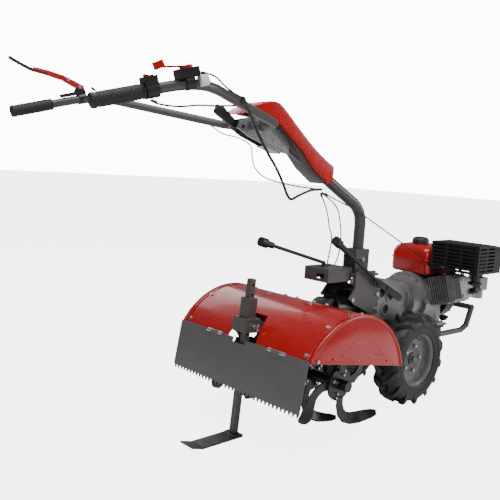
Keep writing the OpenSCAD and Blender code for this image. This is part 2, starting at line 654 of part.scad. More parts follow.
module air_filter() color(black) machine() {
    block([filter_x[0], -290, 512], [filter_x[1], -140, 600]);
    block([filter_x[0] + 2, -286, 600], [filter_x[1] - 4, -144, 618]);
    translate([filter_x[0] + 52, -215, 488]) cylinder(h = 30, d = 54);
}
module carburettor() color(zinc) machine() {
    block([312, -250, 436], [374, -192, 487.5]);
    translate([342, -222, 402]) cylinder(h = 36, d = 50);
    translate([0, -222, 458]) along_x(40, 307, 312);
    translate([0, -222, 458]) along_x(30, 374, 388);
}
module engine_plugs() {
    color("#e2c21c") machine() translate([300, -98, base_top + 32]) rotate([70, 0, 0]) {
        cylinder(h = 20, d = 26);
        translate([0, 0, 20]) cylinder(h = 12, d = 14);
    }
    color(black) cylinder_frame() translate([cyl_x + 26, -238, -20]) rotate([90, 0, 0]) {
        cylinder(h = 26, d = 24);
        translate([0, 0, 18]) rotate([0, 90, 0]) cylinder(h = 34, d = 14);
    }
}

// ---------- steering column ----------
bend_end = [column_x - column_bend_r * (1 - sin(column_slope)), 0,
    column_bend_z + column_bend_r * cos(column_slope)];
slope_dir = [-cos(column_slope), 0, sin(column_slope)];
column_end = bend_end + slope_dir * column_rise;
bend_steps = 4;
bend_route = [for (i = [0:bend_steps]) let (a = (90 - column_slope) * i / bend_steps)
    [column_x - column_bend_r * (1 - cos(a)), 0, column_bend_z + column_bend_r * sin(a)]];
module column_tube() color(steel) handle() {
    pipe(concat([[column_x, 0, base_z1 + gap]], bend_route, [column_end]), column_d);
    translate([column_x, 0, base_z0 + 13]) cylinder(h = base_z1 - base_z0, d = 30);
}
clamp = [clamp_x, 0, clamp_z];
module clamp_plates() color(zinc) handle() {
    for (s = [-1, 1]) side(s) slab(column_d / 2 + gap, column_d / 2 + 6) difference() {
        polygon([[-766, 998], [-758, 1022], [-700, 1036], [-662, 1034], [-590, 994], [-556, 962],
            [-556, 924], [-590, 928], [-650, 946], [-720, 972]]);
        translate([clamp_x, clamp_z]) circle(d = 24.1);
        translate([-745, 1002]) circle(d = 10.1);
    }
    for (p = [[-575, 940], [-606, 946]]) translate([p.x, 0, p.y]) along_y(8, -36, 36);
    translate([0, 0, 0]) slab(-column_d / 2 - 6, column_d / 2 + 6) polygon([[-660, 945], [-650, 946],
        [-590, 928], [-592, 924]]);
}
cover_y = 52;
module cover_outline() polygon([[-772, 1040], [-752, 1056], [-712, 1076], [-654, 1091], [-620, 1088],
    [-574, 1052], [-484, 972], [-394, 908], [-372, 896], [-376, 842], [-396, 832], [-466, 884],
    [-514, 936], [-574, 984], [-624, 1024], [-664, 1042], [-734, 1046]]);
module cover_core() polygon([[-760, 1042], [-748, 1050], [-710, 1070], [-654, 1085], [-622, 1082],
    [-578, 1048], [-488, 968], [-398, 904], [-350, 890], [-350, 826], [-394, 812], [-474, 870], [-574, 960],
    [-674, 1020], [-734, 1040]]);
module console_cover() color(red) handle() difference() {
    slab(-cover_y, cover_y) cover_outline();
    slab(-cover_y + 3, cover_y - 3) cover_core();
}
module lock_lever() color(black) handle() {
    slab(-6, 6) polygon([[-838, 1046], [-830, 1064], [-806, 1058], [-752, 1014], [-738, 1008],
        [-738, 996], [-770, 998], [-836, 1036]]);
    translate([-745, 0, 1002]) along_y(10, -30, 30);
    translate([-745, 0, 1002]) along_y(16, -19, 19);
}

// ---------- handlebars ----------
function bar_point(t, s) = [elbow_x + (grip_x - elbow_x) * t, s * (elbow_y + (grip_y - elbow_y) * t),
    elbow_z + (grip_z - elbow_z) * t];
module handlebar(s) color(steel) handle() {
    pipe([bar_point(1, s), [elbow_x, s * elbow_y, elbow_z], [clamp_x, s * knee_y, clamp_z],
        [clamp_x, s * 60, clamp_z]], bar_d);
    translate([clamp_x, 0, clamp_z]) side(s) along_y(24, 14, 62);
}
module handlebar_right() handlebar(-1);
module handlebar_left() {
    handlebar(1);
    color(steel) handle() translate([clamp_x, 0, clamp_z]) along_y(14, -13, 16);
}
module grip(s) {
    a = bar_point(1, s);
    d = unit(bar_point(0, s) - a);
    difference() {
        union() {
            rod(a - d * 4, a + d * grip_len, grip_d - 3);
            rod(a - d * 4, a + d * 8, grip_d + 3);
            rod(a + d * (grip_len - 7), a + d * grip_len, grip_d + 2);
        }
        rod(a, a + d * (grip_len + 5), bar_d + 0.1);
    }
}
module grips() color(black) handle() for (s = [-1, 1]) grip(s);
// Frame on a handlebar: X runs forward along the bar, Z away from it upwards
module on_bar(t, s) handle() translate(bar_point(t, s))
    rotate([0, 0, atan2(bar_point(0, s).y - bar_point(1, s).y, bar_point(0, s).x - bar_point(1, s).x)])
    rotate([0, -asin(unit(bar_point(0, s) - bar_point(1, s)).z), 0]) children();
throttle_t = 0.12;
switch_t = 0.47;
module throttle_clamp() color(black) on_bar(throttle_t, -1) difference() {
    union() {
        along_x(bar_d + 9, -12, 12);
        block([-30, -16, bar_d / 2 - 2], [28, 16, bar_d / 2 + 22]);
    }
    along_x(bar_d + 0.1, -40, 40);
    translate([0, 0, bar_d / 2]) cylinder(h = 30, d = 8 + 2 * run);
}
module throttle_lever() color(red) on_bar(throttle_t, -1) {
    translate([0, 0, bar_d / 2 + 4]) cylinder(h = 24, d = 8);
    translate([0, 0, bar_d / 2 + 22 + gap]) cylinder(h = 7, d = 34);
    translate([0, 0, bar_d / 2 + 26]) rotate([0, 8, 0]) {
        block([-66, -4, -2], [0, 8, 2]);
        translate([-68, 0, 4]) rotate([0, -18, 0]) block([-14, -6, -8], [10, 10, 10]);
    }
}
module switch_body() color(black) on_bar(switch_t, -1) difference() {
    union() {
        along_x(bar_d + 14, -16, 16);
        block([-18, -19, 0], [16, 19, bar_d / 2 + 18]);
    }
    along_x(bar_d + 0.1, -30, 30);
    block([-12, -9, bar_d / 2 + 12], [12, 9, bar_d / 2 + 30]);
}
module stop_rocker() color(red) on_bar(switch_t, -1) translate([0, 0, bar_d / 2 + 16.5])
    union() {
        slab(-8.5, 8.5) polygon([[-10.5, -1], [-10.5, 8], [0, 3.5], [10.5, 4.5], [10.5, -1], [0, -4]]);
        along_y(4, -8.9, 8.9);
    }
clutch_t = 0.16;
clutch_z = 34;
module clutch_bracket() color(black) on_bar(clutch_t, 1) {
    difference() {
        along_x(bar_d + 8, -14, 12);
        along_x(bar_d + 0.1, -20, 20);
    }
    for (s = [-1, 1]) side(s) slab(8, 11) difference() {
        polygon([[-70, bar_d / 2 + 2], [-70, bar_d / 2 + 12], [-20, bar_d / 2 + 12], [-8, clutch_z + 8],
            [10, clutch_z + 8], [14, bar_d / 2 + 2]]);
        translate([0, clutch_z]) circle(d = 8.1);
    }
    block([-70, -11, bar_d / 2 + 1], [14, 11, bar_d / 2 + 4]);
}
clutch_rise = 31;
module clutch_lever() {
    color(red) on_bar(clutch_t, 1) translate([0, 0, clutch_z]) {
        along_y(8, -14, 14);
        rotate([0, clutch_rise, 0]) slab(-7, 7) polygon([[-150, -10], [-150, 8], [-90, 12], [-10, 9],
            [8, 6], [8, -7], [-10, -8], [-80, -9]]);
    }
    color(black) on_bar(clutch_t, 1) translate([0, 0, clutch_z]) rotate([0, clutch_rise, 0])
        slab(-8, 8) polygon([[-262, -10], [-268, 0], [-262, 8], [-190, 6], [-149, 10], [-149, -12], [-190, -12]]);
}

// ---------- shift levers ----------
pivot_r = [-92, -79, 452];
module knob(tip, neck) {
    d = unit(neck - tip);
    rod(tip, tip + d * 30, 33);
    rod(tip + d * 29, neck, 23);
}
module shift_lever_right() color(black) machine() {
    rod([-372, -85, 612], [-144, -85, 472], 14);
    knob([-424, -85, 644], [-366, -85, 608.4]);
    slab(-88, -82) link([-150, 476], 13, [-4, 406], 13);
    translate([pivot_r.x, 0, pivot_r.z]) along_y(14, -92, -box_y - 8);
}
module shift_lever_left() color(black) machine() {
    pipe([[-600, 46.9, 617], [-342, 27, 546], [-342, 27, 490]], 13);
    translate([-342, 0, 492]) along_y(18, 21, 33);
    knob([-650, 50.7, 630.8], [-594, 46.5, 615.4]);
}

// ---------- control cables ----------
bar_tie = [-921, -295, 1060];
column_tie = [-397, -20, 812];
throttle_upper = [[-1096, -373, 1098], [-1058, -374, 1094], [-1008, -350, 1074], [-960, -318, 1064],
    bar_tie];
throttle_loop = [bar_tie, [-875, -275, 1010], [-832, -245, 973], [-751, -190, 915], [-704, -160, 884],
    [-643, -120, 836], [-598, -90, 793], [-568, -75, 777], [-525, -60, 790], [-459, -40, 808], column_tie];
throttle_lower = [[-385, 12, 798], [-314, -8, 769], [-244, -24, 743], [-168, -34, 707], [-61, -58, 651],
    [31, -80, 602], [100, -102, 560], [150, -107, 528], [210, -108, 508], [300, -140, 506], [322, -170, 486]];
switch_route = [[-1224, -366, 1018], [-1206, -376, 1010], [-1151, -372, 1010], [-1090, -352, 1020],
    [-1010, -320, 1028], [-945, -299, 1036]];
clutch_upper = [[-1108, 366, 1106], [-1070, 382, 1090], [-1020, 352, 1071], [-884, 277, 1046],
    [-760, 205, 1020], [-700, 180, 986], [-660, 120, 970], [-646, 72, 946], [-648, 56, 909], [-640, 50, 877],
    [-622, 40, 853], [-594, 25, 837], [-557, 8, 828], [-489, -4, 818], [-412, -12, 812]];
clutch_lower_a = [[-390, 26, 798], [-343, 30, 733], [-313, 38, 674], [-290, 42, 628], [-300, 46, 536]];
clutch_lower_b = [[-378, 30, 800], [-292, 34, 754], [-251, 42, 700], [-226, 50, 625], [-230, 54, 560],
    [-258, 54, 510]];
module throttle_cable() {
    color(black) handle() {
        cord(throttle_upper, 5);
        cord(throttle_loop, 9, 3);
        cord(switch_route, 5, 3);
        translate(column_tie) rotate([0, 59, 0]) cylinder(h = 12, d = 20, center = true);
        translate(bar_tie) rotate([0, 59, 0]) cylinder(h = 10, d = 12, center = true);
    }
    color(black) machine() cord(throttle_lower, 5);
}
module clutch_cable() {
    color(black) handle() cord(clutch_upper, 5, 3);
    color(black) machine() {
        cord(clutch_lower_a, 5);
        cord(clutch_lower_b, 5);
    }
}

tyre_right();
tyre_left();
rim_right();
rim_left();
wheel_bolts();
wheel_axle();
axle_case();
gearbox_housing();
bell_housing();
input_shaft();
side_plates();
chassis_bolts();
column_base();
shift_gate();
drive_coupling();
rotor_case();
hood_shell();
hood_end_right();
hood_end_left();
hinge_brackets();
depth_socket();
rotor_shaft();
tines();
tine_bolts();
rear_flap();
depth_bar();
skid_shoe();
depth_screw();
engine_base();
front_bumper();
crankcase();
crankshaft();
flywheel();
cylinder_block();
valve_cover();
fuel_tank();
fuel_cap();
muffler();
muffler_guard();
air_filter();
carburettor();
fan_housing();
engine_plugs();
column_tube();
clamp_plates();
console_cover();
lock_lever();
handlebar_right();
handlebar_left();
grips();
throttle_clamp();
throttle_lever();
switch_body();
stop_rocker();
clutch_bracket();
clutch_lever();
shift_lever_right();
shift_lever_left();
throttle_cable();
clutch_cable();
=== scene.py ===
import json
import math

import bpy
from mathutils import Matrix, Vector


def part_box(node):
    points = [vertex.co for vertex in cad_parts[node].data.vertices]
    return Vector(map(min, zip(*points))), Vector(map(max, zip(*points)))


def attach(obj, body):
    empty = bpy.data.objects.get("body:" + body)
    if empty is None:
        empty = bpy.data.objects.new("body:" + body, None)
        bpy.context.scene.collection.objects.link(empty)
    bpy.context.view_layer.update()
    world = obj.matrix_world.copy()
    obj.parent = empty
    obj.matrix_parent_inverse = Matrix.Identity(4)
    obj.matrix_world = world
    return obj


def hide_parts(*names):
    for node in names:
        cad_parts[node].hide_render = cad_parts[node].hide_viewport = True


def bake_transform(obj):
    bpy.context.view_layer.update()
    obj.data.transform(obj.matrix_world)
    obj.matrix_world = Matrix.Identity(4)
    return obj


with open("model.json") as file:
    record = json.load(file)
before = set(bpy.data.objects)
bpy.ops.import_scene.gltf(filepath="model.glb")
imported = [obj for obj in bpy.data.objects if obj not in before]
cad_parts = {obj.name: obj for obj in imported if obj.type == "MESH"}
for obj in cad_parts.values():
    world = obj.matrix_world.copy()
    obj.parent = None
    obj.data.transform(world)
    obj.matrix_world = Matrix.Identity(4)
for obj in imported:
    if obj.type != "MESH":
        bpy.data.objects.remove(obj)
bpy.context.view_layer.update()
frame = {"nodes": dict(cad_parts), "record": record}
nodes = frame["nodes"]


# ---------- finishes ----------

def shader_group(name, inputs, outputs):
    """An empty shader node group with named sockets; returns it with its two end nodes."""
    tree = bpy.data.node_groups.new(name, "ShaderNodeTree")
    for label, kind, value in inputs:
        socket = tree.interface.new_socket(label, in_out="INPUT", socket_type="NodeSocket" + kind)
        if value is not None:
            socket.default_value = value
    for label, kind in outputs:
        tree.interface.new_socket(label, in_out="OUTPUT", socket_type="NodeSocket" + kind)
    return tree, tree.nodes.new("NodeGroupInput"), tree.nodes.new("NodeGroupOutput")


def noise(tree, vector, scale, detail=4.0, rough=0.55):
    n = tree.nodes.new("ShaderNodeTexNoise")
    n.inputs["Detail"].default_value = detail
    n.inputs["Roughness"].default_value = rough
    tree.links.new(vector, n.inputs["Vector"])
    if isinstance(scale, (int, float)):
        n.inputs["Scale"].default_value = scale
    else:
        tree.links.new(scale, n.inputs["Scale"])
    return n.outputs["Fac"]


def math_node(tree, kind, a, b=None, clamp=False):
    n = tree.nodes.new("ShaderNodeMath")
    n.operation = kind
    n.use_clamp = clamp
    for i, v in enumerate((a, b)):
        if v is None:
            continue
        if isinstance(v, (int, float)):
            n.inputs[i].default_value = v
        else:
            tree.links.new(v, n.inputs[i])
    return n.outputs[0]


def remap(tree, value, low, high, to_low, to_high):
    n = tree.nodes.new("ShaderNodeMapRange")
    n.inputs["From Min"].default_value = low
    n.inputs["From Max"].default_value = high
    for name, v in (("To Min", to_low), ("To Max", to_high)):
        if isinstance(v, (int, float)):
            n.inputs[name].default_value = v
        else:
            tree.links.new(v, n.inputs[name])
    tree.links.new(value, n.inputs["Value"])
    return n.outputs["Result"]


def mix_colour(tree, factor, a, b):
    n = tree.nodes.new("ShaderNodeMix")
    n.data_type = "RGBA"
    for i, v in ((0, factor), (6, a), (7, b)):
        if isinstance(v, (tuple, list)):
            n.inputs[i].default_value = (*v[:3], 1)
        elif isinstance(v, (int, float)):
            n.inputs[i].default_value = v
        else:
            tree.links.new(v, n.inputs[i])
    return n.outputs[2]


def surface_group():
    """Colour mottling, settled dust, fine scratches and a two-scale grain, for any hard surface."""
    tree, i, o = shader_group(
        "weathered_surface",
        [("Vector", "Vector", None), ("Colour", "Color", (0.5, 0.5, 0.5, 1)),
         ("Second", "Color", (0.4, 0.4, 0.4, 1)), ("Mottle", "Float", 0.2), ("Mottle Scale", "Float", 14.0),
         ("Dust", "Float", 0.1), ("Roughness", "Float", 0.4), ("Unevenness", "Float", 0.1),
         ("Grain Scale", "Float", 900.0), ("Scratches", "Float", 0.1)],
        [("Colour", "Color"), ("Roughness", "Float"), ("Height", "Float")])
    v = i.outputs["Vector"]
    blot = noise(tree, v, i.outputs["Mottle Scale"], 6.0, 0.6)
    fine = noise(tree, v, i.outputs["Grain Scale"], 3.0, 0.5)
    stretch = tree.nodes.new("ShaderNodeMapping")
    stretch.inputs["Scale"].default_value = (40, 300, 420)
    stretch.inputs["Rotation"].default_value = (0.4, 0.5, 0.3)
    tree.links.new(v, stretch.inputs["Vector"])
    hair = noise(tree, stretch.outputs["Vector"], 1.0, 2.0, 0.7)
    line = remap(tree, hair, 0.66, 0.72, 0.0, 1.0)
    line = math_node(tree, "MULTIPLY", line, i.outputs["Scratches"])
    up = tree.nodes.new("ShaderNodeNewGeometry")
    split = tree.nodes.new("ShaderNodeSeparateXYZ")
    tree.links.new(up.outputs["Normal"], split.inputs[0])
    lying = remap(tree, split.outputs["Z"], 0.1, 1.0, 0.15, 1.0)
    settled = math_node(tree, "MULTIPLY", math_node(tree, "MULTIPLY", lying,
                                                    remap(tree, blot, 0.35, 0.75, 0.2, 1.0)),
                        i.outputs["Dust"])
    tone = math_node(tree, "MULTIPLY", remap(tree, blot, 0.3, 0.7, 0.0, 1.0), i.outputs["Mottle"])
    colour = mix_colour(tree, tone, i.outputs["Colour"], i.outputs["Second"])
    colour = mix_colour(tree, settled, colour, (0.42, 0.38, 0.33))
    colour = mix_colour(tree, line, colour, (0.55, 0.54, 0.52))
    swing = math_node(tree, "MULTIPLY", math_node(tree, "SUBTRACT", blot, 0.5), i.outputs["Unevenness"])
    rough = math_node(tree, "ADD", i.outputs["Roughness"], swing)
    rough = math_node(tree, "ADD", rough, math_node(tree, "MULTIPLY", settled, 0.5), clamp=True)
    tree.links.new(colour, o.inputs["Colour"])
    tree.links.new(rough, o.inputs["Roughness"])
    height = math_node(tree, "ADD", fine, math_node(tree, "MULTIPLY", blot, 0.6))
    tree.links.new(height, o.inputs["Height"])
    return tree


WEATHERED = surface_group()


def finish(name, colour, second, rough, mottle=0.25, mottle_scale=14, dust=0.08, uneven=0.12,
           grain=900, bump=0.0002, scratches=0.1, metallic=0.0, coat=0.0, coat_rough=0.05, specular=0.5,
           extra=None):
    """One painted, cast, plated, rubber or plastic finish, read from object coordinates."""
    m = bpy.data.materials.new(name)
    m.use_nodes = True
    tree = m.node_tree
    shader = tree.nodes["Principled BSDF"]
    where = tree.nodes.new("ShaderNodeTexCoord")
    g = tree.nodes.new("ShaderNodeGroup")
    g.node_tree = WEATHERED
    tree.links.new(where.outputs["Object"], g.inputs["Vector"])
    for label, value in (("Colour", (*colour, 1)), ("Second", (*second, 1)), ("Mottle", mottle),
                         ("Mottle Scale", mottle_scale), ("Dust", dust), ("Roughness", rough),
                         ("Unevenness", uneven), ("Grain Scale", grain), ("Scratches", scratches)):
        g.inputs[label].default_value = value
    tree.links.new(g.outputs["Colour"], shader.inputs["Base Color"])
    tree.links.new(g.outputs["Roughness"], shader.inputs["Roughness"])
    b = tree.nodes.new("ShaderNodeBump")
    b.inputs["Strength"].default_value = 1.0
    b.inputs["Distance"].default_value = bump
    height = g.outputs["Height"]
    if extra:
        height = extra(tree, where.outputs["Object"], height)
    tree.links.new(height, b.inputs["Height"])
    tree.links.new(b.outputs["Normal"], shader.inputs["Normal"])
    shader.inputs["Metallic"].default_value = metallic
    shader.inputs["Coat Weight"].default_value = coat
    shader.inputs["Coat Roughness"].default_value = coat_rough
    shader.inputs["Specular IOR Level"].default_value = specular
    return m


RED = finish("gloss_red_enamel", (0.40, 0.0006, 0.0012), (0.33, 0.0004, 0.001), 0.24, dust=0.0, uneven=0.06,
             grain=260, bump=0.00005, scratches=0.0, coat=0.3)
RED_SATIN = finish("red_lever_enamel", (0.45, 0.002, 0.002), (0.35, 0.001, 0.002), 0.32, dust=0.01, coat=0.3,
                   grain=500, bump=0.0001, scratches=0.12)
RED_PLASTIC = finish("moulded_red_plastic", (0.45, 0.0008, 0.001), (0.37, 0.0005, 0.001), 0.24, dust=0.0,
                     grain=1500, bump=0.00005, scratches=0.03)
GREY = finish("frame_grey_powder_coat", (0.062, 0.058, 0.054), (0.048, 0.046, 0.043), 0.34, dust=0.05,
              grain=1100, bump=0.00018, scratches=0.08, coat=0.15, coat_rough=0.2)
FLAP_GREY = finish("plate_grey_paint", (0.095, 0.095, 0.097), (0.075, 0.075, 0.077), 0.4, dust=0.02,
                   grain=900,
                   bump=0.00016, scratches=0.1)
RIM_GREY = finish("rim_grey_enamel", (0.12, 0.12, 0.122), (0.09, 0.09, 0.092), 0.34, dust=0.04, grain=700,
                  bump=0.00012, scratches=0.08, coat=0.2)
RUBBER = finish("tyre_rubber", (0.005, 0.005, 0.0055), (0.010, 0.010, 0.0098), 0.48, dust=0.02, uneven=0.15,
                grain=1300, bump=0.00035, scratches=0.04)
GRIP_RUBBER = finish("grip_rubber", (0.005, 0.005, 0.0055), (0.009, 0.009, 0.009), 0.5, dust=0.01, grain=2600,
                     bump=0.0002, scratches=0.0)
CAST = finish("cast_aluminium", (0.36, 0.36, 0.365), (0.2, 0.2, 0.205), 0.4, mottle=0.6, mottle_scale=26,
              dust=0.12, uneven=0.25, grain=700, bump=0.0006, scratches=0.05, metallic=0.75)
ZINC = finish("bright_zinc_plate", (0.5, 0.5, 0.51), (0.36, 0.36, 0.38), 0.26, mottle=0.5, mottle_scale=40,
              dust=0.08, uneven=0.2, grain=1600, bump=0.00012, scratches=0.2, metallic=0.95)
BLACK_PAINT = finish("black_chassis_paint", (0.006, 0.006, 0.0065), (0.012, 0.012, 0.012), 0.34, dust=0.02,
                     uneven=0.2, grain=900, bump=0.0003, scratches=0.14, coat=0.1, coat_rough=0.2)
BLACK_PLASTIC = finish("moulded_black_plastic", (0.005, 0.005, 0.0055), (0.009, 0.009, 0.0095), 0.4,
                       dust=0.02,
                       grain=1900, bump=0.0002, scratches=0.03)
WHITE_PAPER = finish("plain_paper_band", (0.8, 0.8, 0.78), (0.72, 0.72, 0.7), 0.5, dust=0.02, scratches=0.0)
# painted shade: a dark reddish-brown that stands for the shade inside the console cover's open underside, not
# a plastic of its own
UNDERSIDE_SHADE_BROWN = finish("painted_shade_underside", (0.022, 0.012, 0.01), (0.03, 0.018, 0.015), 0.4, dust=0.03)
CABLE = finish("cable_sheath", (0.004, 0.004, 0.0045), (0.008, 0.008, 0.008), 0.34, dust=0.0, grain=1500,
               bump=0.0001, scratches=0.02)

SLOT_FINISH = {
    "red_gloss": RED, "red_paint": RED_SATIN, "red_plastic": RED_PLASTIC, "grey_paint": GREY,
    "flap_paint": FLAP_GREY, "rubber_black": RUBBER, "cast_alloy": CAST, "zinc_steel": ZINC,
    "black_paint": BLACK_PAINT, "black_plastic": BLACK_PLASTIC, "cable_black": CABLE}
for part in frame["record"]["subparts"]:
    o = nodes[part["node"]]
    o.data.materials.clear()
    o.data.materials.append(SLOT_FINISH[part["material_slot"]])

# ---------- modelling tools ----------

SHIFT = Matrix.Translation((0.843, 0, 0))
HANDLE = (Matrix.Translation((0.843 - 0.182, 0, 0)) @ Matrix.Rotation(math.radians(-10), 4, "Z")
          @ Matrix.Translation((0.182, 0, 0)))
ROTOR_UNIT = Matrix.Translation((0.313, 0, 0.197)) @ Matrix.Rotation(math.radians(9.8), 4, "Y")


def mm(*v):
    return Vector(v) / 1000


def begin(add, name, **how):
    """A new primitive, alone in the selection."""
    bpy.ops.object.select_all(action="DESELECT")
    add(**how)
    o = bpy.context.object
    o.name = o.data.name = name
    return o


def alone(o):
    bpy.ops.object.select_all(action="DESELECT")
    o.select_set(True)
    bpy.context.view_layer.objects.active = o


def edit(o, *steps):
    """Runs edit-mode operators on everything in the piece; each step is (operator, arguments)."""
    alone(o)
    bpy.ops.object.mode_set(mode="EDIT")
    bpy.ops.mesh.select_all(action="SELECT")
    for step, how in steps:
        step(**how)
    bpy.ops.object.mode_set(mode="OBJECT")
    return o


def mend(o):
    return edit(o, (bpy.ops.mesh.remove_doubles, {"threshold": 0.00002}),
                (bpy.ops.mesh.normals_make_consistent, {"inside": False}))


def apply(o, kind, **values):
    """Adds one modifier with these values and applies it."""
    alone(o)
    m = o.modifiers.new(kind.lower(), kind)
    for key, value in values.items():
        setattr(m, key, value)
    bpy.ops.object.modifier_apply(modifier=m.name)
    return o


def bevel(o, width, segments=2, angle=40):
    return apply(o, "BEVEL", width=width, segments=segments, limit_method="ANGLE",
                 angle_limit=math.radians(angle), harden_normals=False)


def smooth(o, angle=35):
    alone(o)
    bpy.ops.object.shade_smooth_by_angle(angle=math.radians(angle))
    return o


def place(o, matrix):
    """Moves the mesh itself, so that the object stays at the origin."""
    o.data.transform(matrix @ o.matrix_world)
    o.matrix_world = Matrix.Identity(4)
    return o


def join(pieces, name):
    bpy.ops.object.select_all(action="DESELECT")
    for o in pieces:
        o.select_set(True)
    bpy.context.view_layer.objects.active = pieces[0]
    bpy.ops.object.join()
    o = bpy.context.object
    o.name = o.data.name = name
    return o


def copy(o):
    twin = o.copy()
    twin.data = o.data.copy()
    bpy.context.scene.collection.objects.link(twin)
    return twin


def copies(o, matrices, name):
    """The piece repeated at each matrix, as one mesh."""
    made = []
    for m in matrices:
        twin = copy(o)
        place(twin, m)
        made.append(twin)
    bpy.data.objects.remove(o)
    return join(made, name)


def loft(name, sections):
    """A closed face placed at the first section and extruded through the others."""
    n = len(sections[0])
    o = begin(bpy.ops.mesh.primitive_circle_add, name, vertices=n, radius=1, fill_type="NGON")
    for v, p in zip(o.data.vertices, sections[0]):
        v.co = p
    last = {i: i for i in range(n)}
    for section in sections[1:]:
        before = len(o.data.vertices)
        edit_last(o, last)
        fresh = {}
        for v in o.data.vertices[before:]:
            near = min(last, key=lambda k: (o.data.vertices[last[k]].co - v.co).length)
            fresh[near] = v.index
        for k, i in fresh.items():
            o.data.vertices[i].co = section[k]
        last = fresh
    return mend(o)


def edit_last(o, last):
    """Extrudes the one face whose corners these are, in place."""
    alone(o)
    want = set(last.values())
    for kind in (o.data.polygons, o.data.edges, o.data.vertices):
        for e in kind:
            e.select = False
    for f in o.data.polygons:
        if set(f.vertices) == want:
            f.select = True
    for v in o.data.vertices:
        v.select = v.index in want
    for e in o.data.edges:
        e.select = e.vertices[0] in want and e.vertices[1] in want
    bpy.ops.object.mode_set(mode="EDIT")
    bpy.ops.mesh.select_mode(type="FACE")
    bpy.ops.mesh.extrude_region_move(TRANSFORM_OT_translate={"value": (0, 0, 0)})
    bpy.ops.object.mode_set(mode="OBJECT")


def lathe(name, profile, steps=64):
    """A closed outline of (y, r) spun about the Y axis."""
    o = begin(bpy.ops.mesh.primitive_circle_add, name, vertices=len(profile), radius=1, fill_type="NOTHING")
    for v, (y, r) in zip(o.data.vertices, profile):
        v.co = (0, y / 1000, r / 1000)
    edit(o, (bpy.ops.mesh.spin, {"steps": steps, "angle": 2 * math.pi, "center": (0, 0, 0),
                                 "axis": (0, 1, 0)}))
    return mend(o)


def plate(name, outline, y0, y1, chamfer=0.0):
    """A flat outline of (x, z) in millimetres given a thickness along Y."""
    o = begin(bpy.ops.mesh.primitive_circle_add, name, vertices=len(outline), radius=1, fill_type="NGON")
    for v, (x, z) in zip(o.data.vertices, outline):
        v.co = (x / 1000, y0 / 1000, z / 1000)
    edit(o, (bpy.ops.mesh.extrude_region_move, {"TRANSFORM_OT_translate": {"value": (0, (y1 - y0) / 1000,
                                                                                     0)}}))
    mend(o)
    if chamfer:
        bevel(o, chamfer / 1000, 2)
    return o


def block(name, low, high, chamfer=0.0, segments=3):
    o = begin(bpy.ops.mesh.primitive_cube_add, name, size=1)
    for v in o.data.vertices:
        v.co = [(h if c > 0 else l) / 1000 for c, l, h in zip(v.co, low, high)]
    if chamfer:
        bevel(o, chamfer / 1000, segments)
    return o


def rod(name, a, b, d, sides=24, chamfer=0.0):
    a, b = Vector(a) / 1000, Vector(b) / 1000
    o = begin(bpy.ops.mesh.primitive_cylinder_add, name, vertices=sides, radius=d / 2000,
              depth=(b - a).length)
    if chamfer:
        bevel(o, chamfer / 1000, 2)
    turn = (b - a).to_track_quat("Z", "Y").to_matrix().to_4x4()
    return place(o, Matrix.Translation((a + b) / 2) @ turn)


def rounded(points, r, steps=6):
    """The same path with each corner turned into an arc of about that radius, in millimetres."""
    out = [Vector(points[0])]
    for a, b, c in zip(points, points[1:], points[2:]):
        a, b, c = Vector(a), Vector(b), Vector(c)
        u, w = (a - b).normalized(), (c - b).normalized()
        cut = min(r, (a - b).length * 0.48, (c - b).length * 0.48)
        for k in range(steps + 1):
            t = k / steps
            out.append((b + u * cut) * (1 - t) ** 2 + b * 2 * t * (1 - t) + (b + w * cut) * t ** 2)
    return out + [Vector(points[-1])]


def flowing(points, steps=5):
    """Catmull-Rom curve through the points."""
    p = [Vector(q) for q in points]
    p = [p[0] * 2 - p[1]] + p + [p[-1] * 2 - p[-2]]
    out = []
    for a, b, c, d in zip(p, p[1:], p[2:], p[3:]):
        for k in range(steps):
            t = k / steps
            out.append(0.5 * (2 * b + (c - a) * t + (2 * a - 5 * b + 4 * c - d) * t ** 2
                              + (3 * b - a - 3 * c + d) * t ** 3))
    return out + [p[-2]]


def tube(name, points, d, sides=5, caps=True):
    """A round tube of that diameter along a path in millimetres."""
    curve = bpy.data.curves.new(name, "CURVE")
    curve.dimensions = "3D"
    curve.bevel_depth = d / 2000
    curve.bevel_resolution = sides
    curve.use_fill_caps = caps
    spline = curve.splines.new("POLY")
    spline.points.add(len(points) - 1)
    for s, p in zip(spline.points, points):
        s.co = (p[0] / 1000, p[1] / 1000, p[2] / 1000, 1)
    o = bpy.data.objects.new(name, curve)
    bpy.context.scene.collection.objects.link(o)
    alone(o)
    bpy.ops.object.convert(target="MESH")
    o = bpy.context.object
    o.name = o.data.name = name
    return mend(o)


def bolt(name, at, toward, across=13, h=8, washer=True):
    """A flanged hexagon bolt head with bevelled top edges."""
    parts = [rod(name, (0, 0, 0.2), (0, 0, h), across * 1.1, 6, 1.0)]
    if washer:
        parts.append(rod(name, (0, 0, 0), (0, 0, 2), across * 1.75, 28, 0.5))
    turn = Vector(toward).to_track_quat("Z", "Y").to_matrix().to_4x4()
    return place(join(parts, name), Matrix.Translation(Vector(at) / 1000) @ turn)


def done(o, finish, body, stands_for=(), matrix=None, angle=35):
    if matrix is not None:
        place(o, matrix)
    o.data.materials.clear()
    o.data.materials.append(finish)
    smooth(o, angle)
    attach(o, body)
    if stands_for:
        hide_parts(*stands_for)
    return o


# ---------- wheels ----------

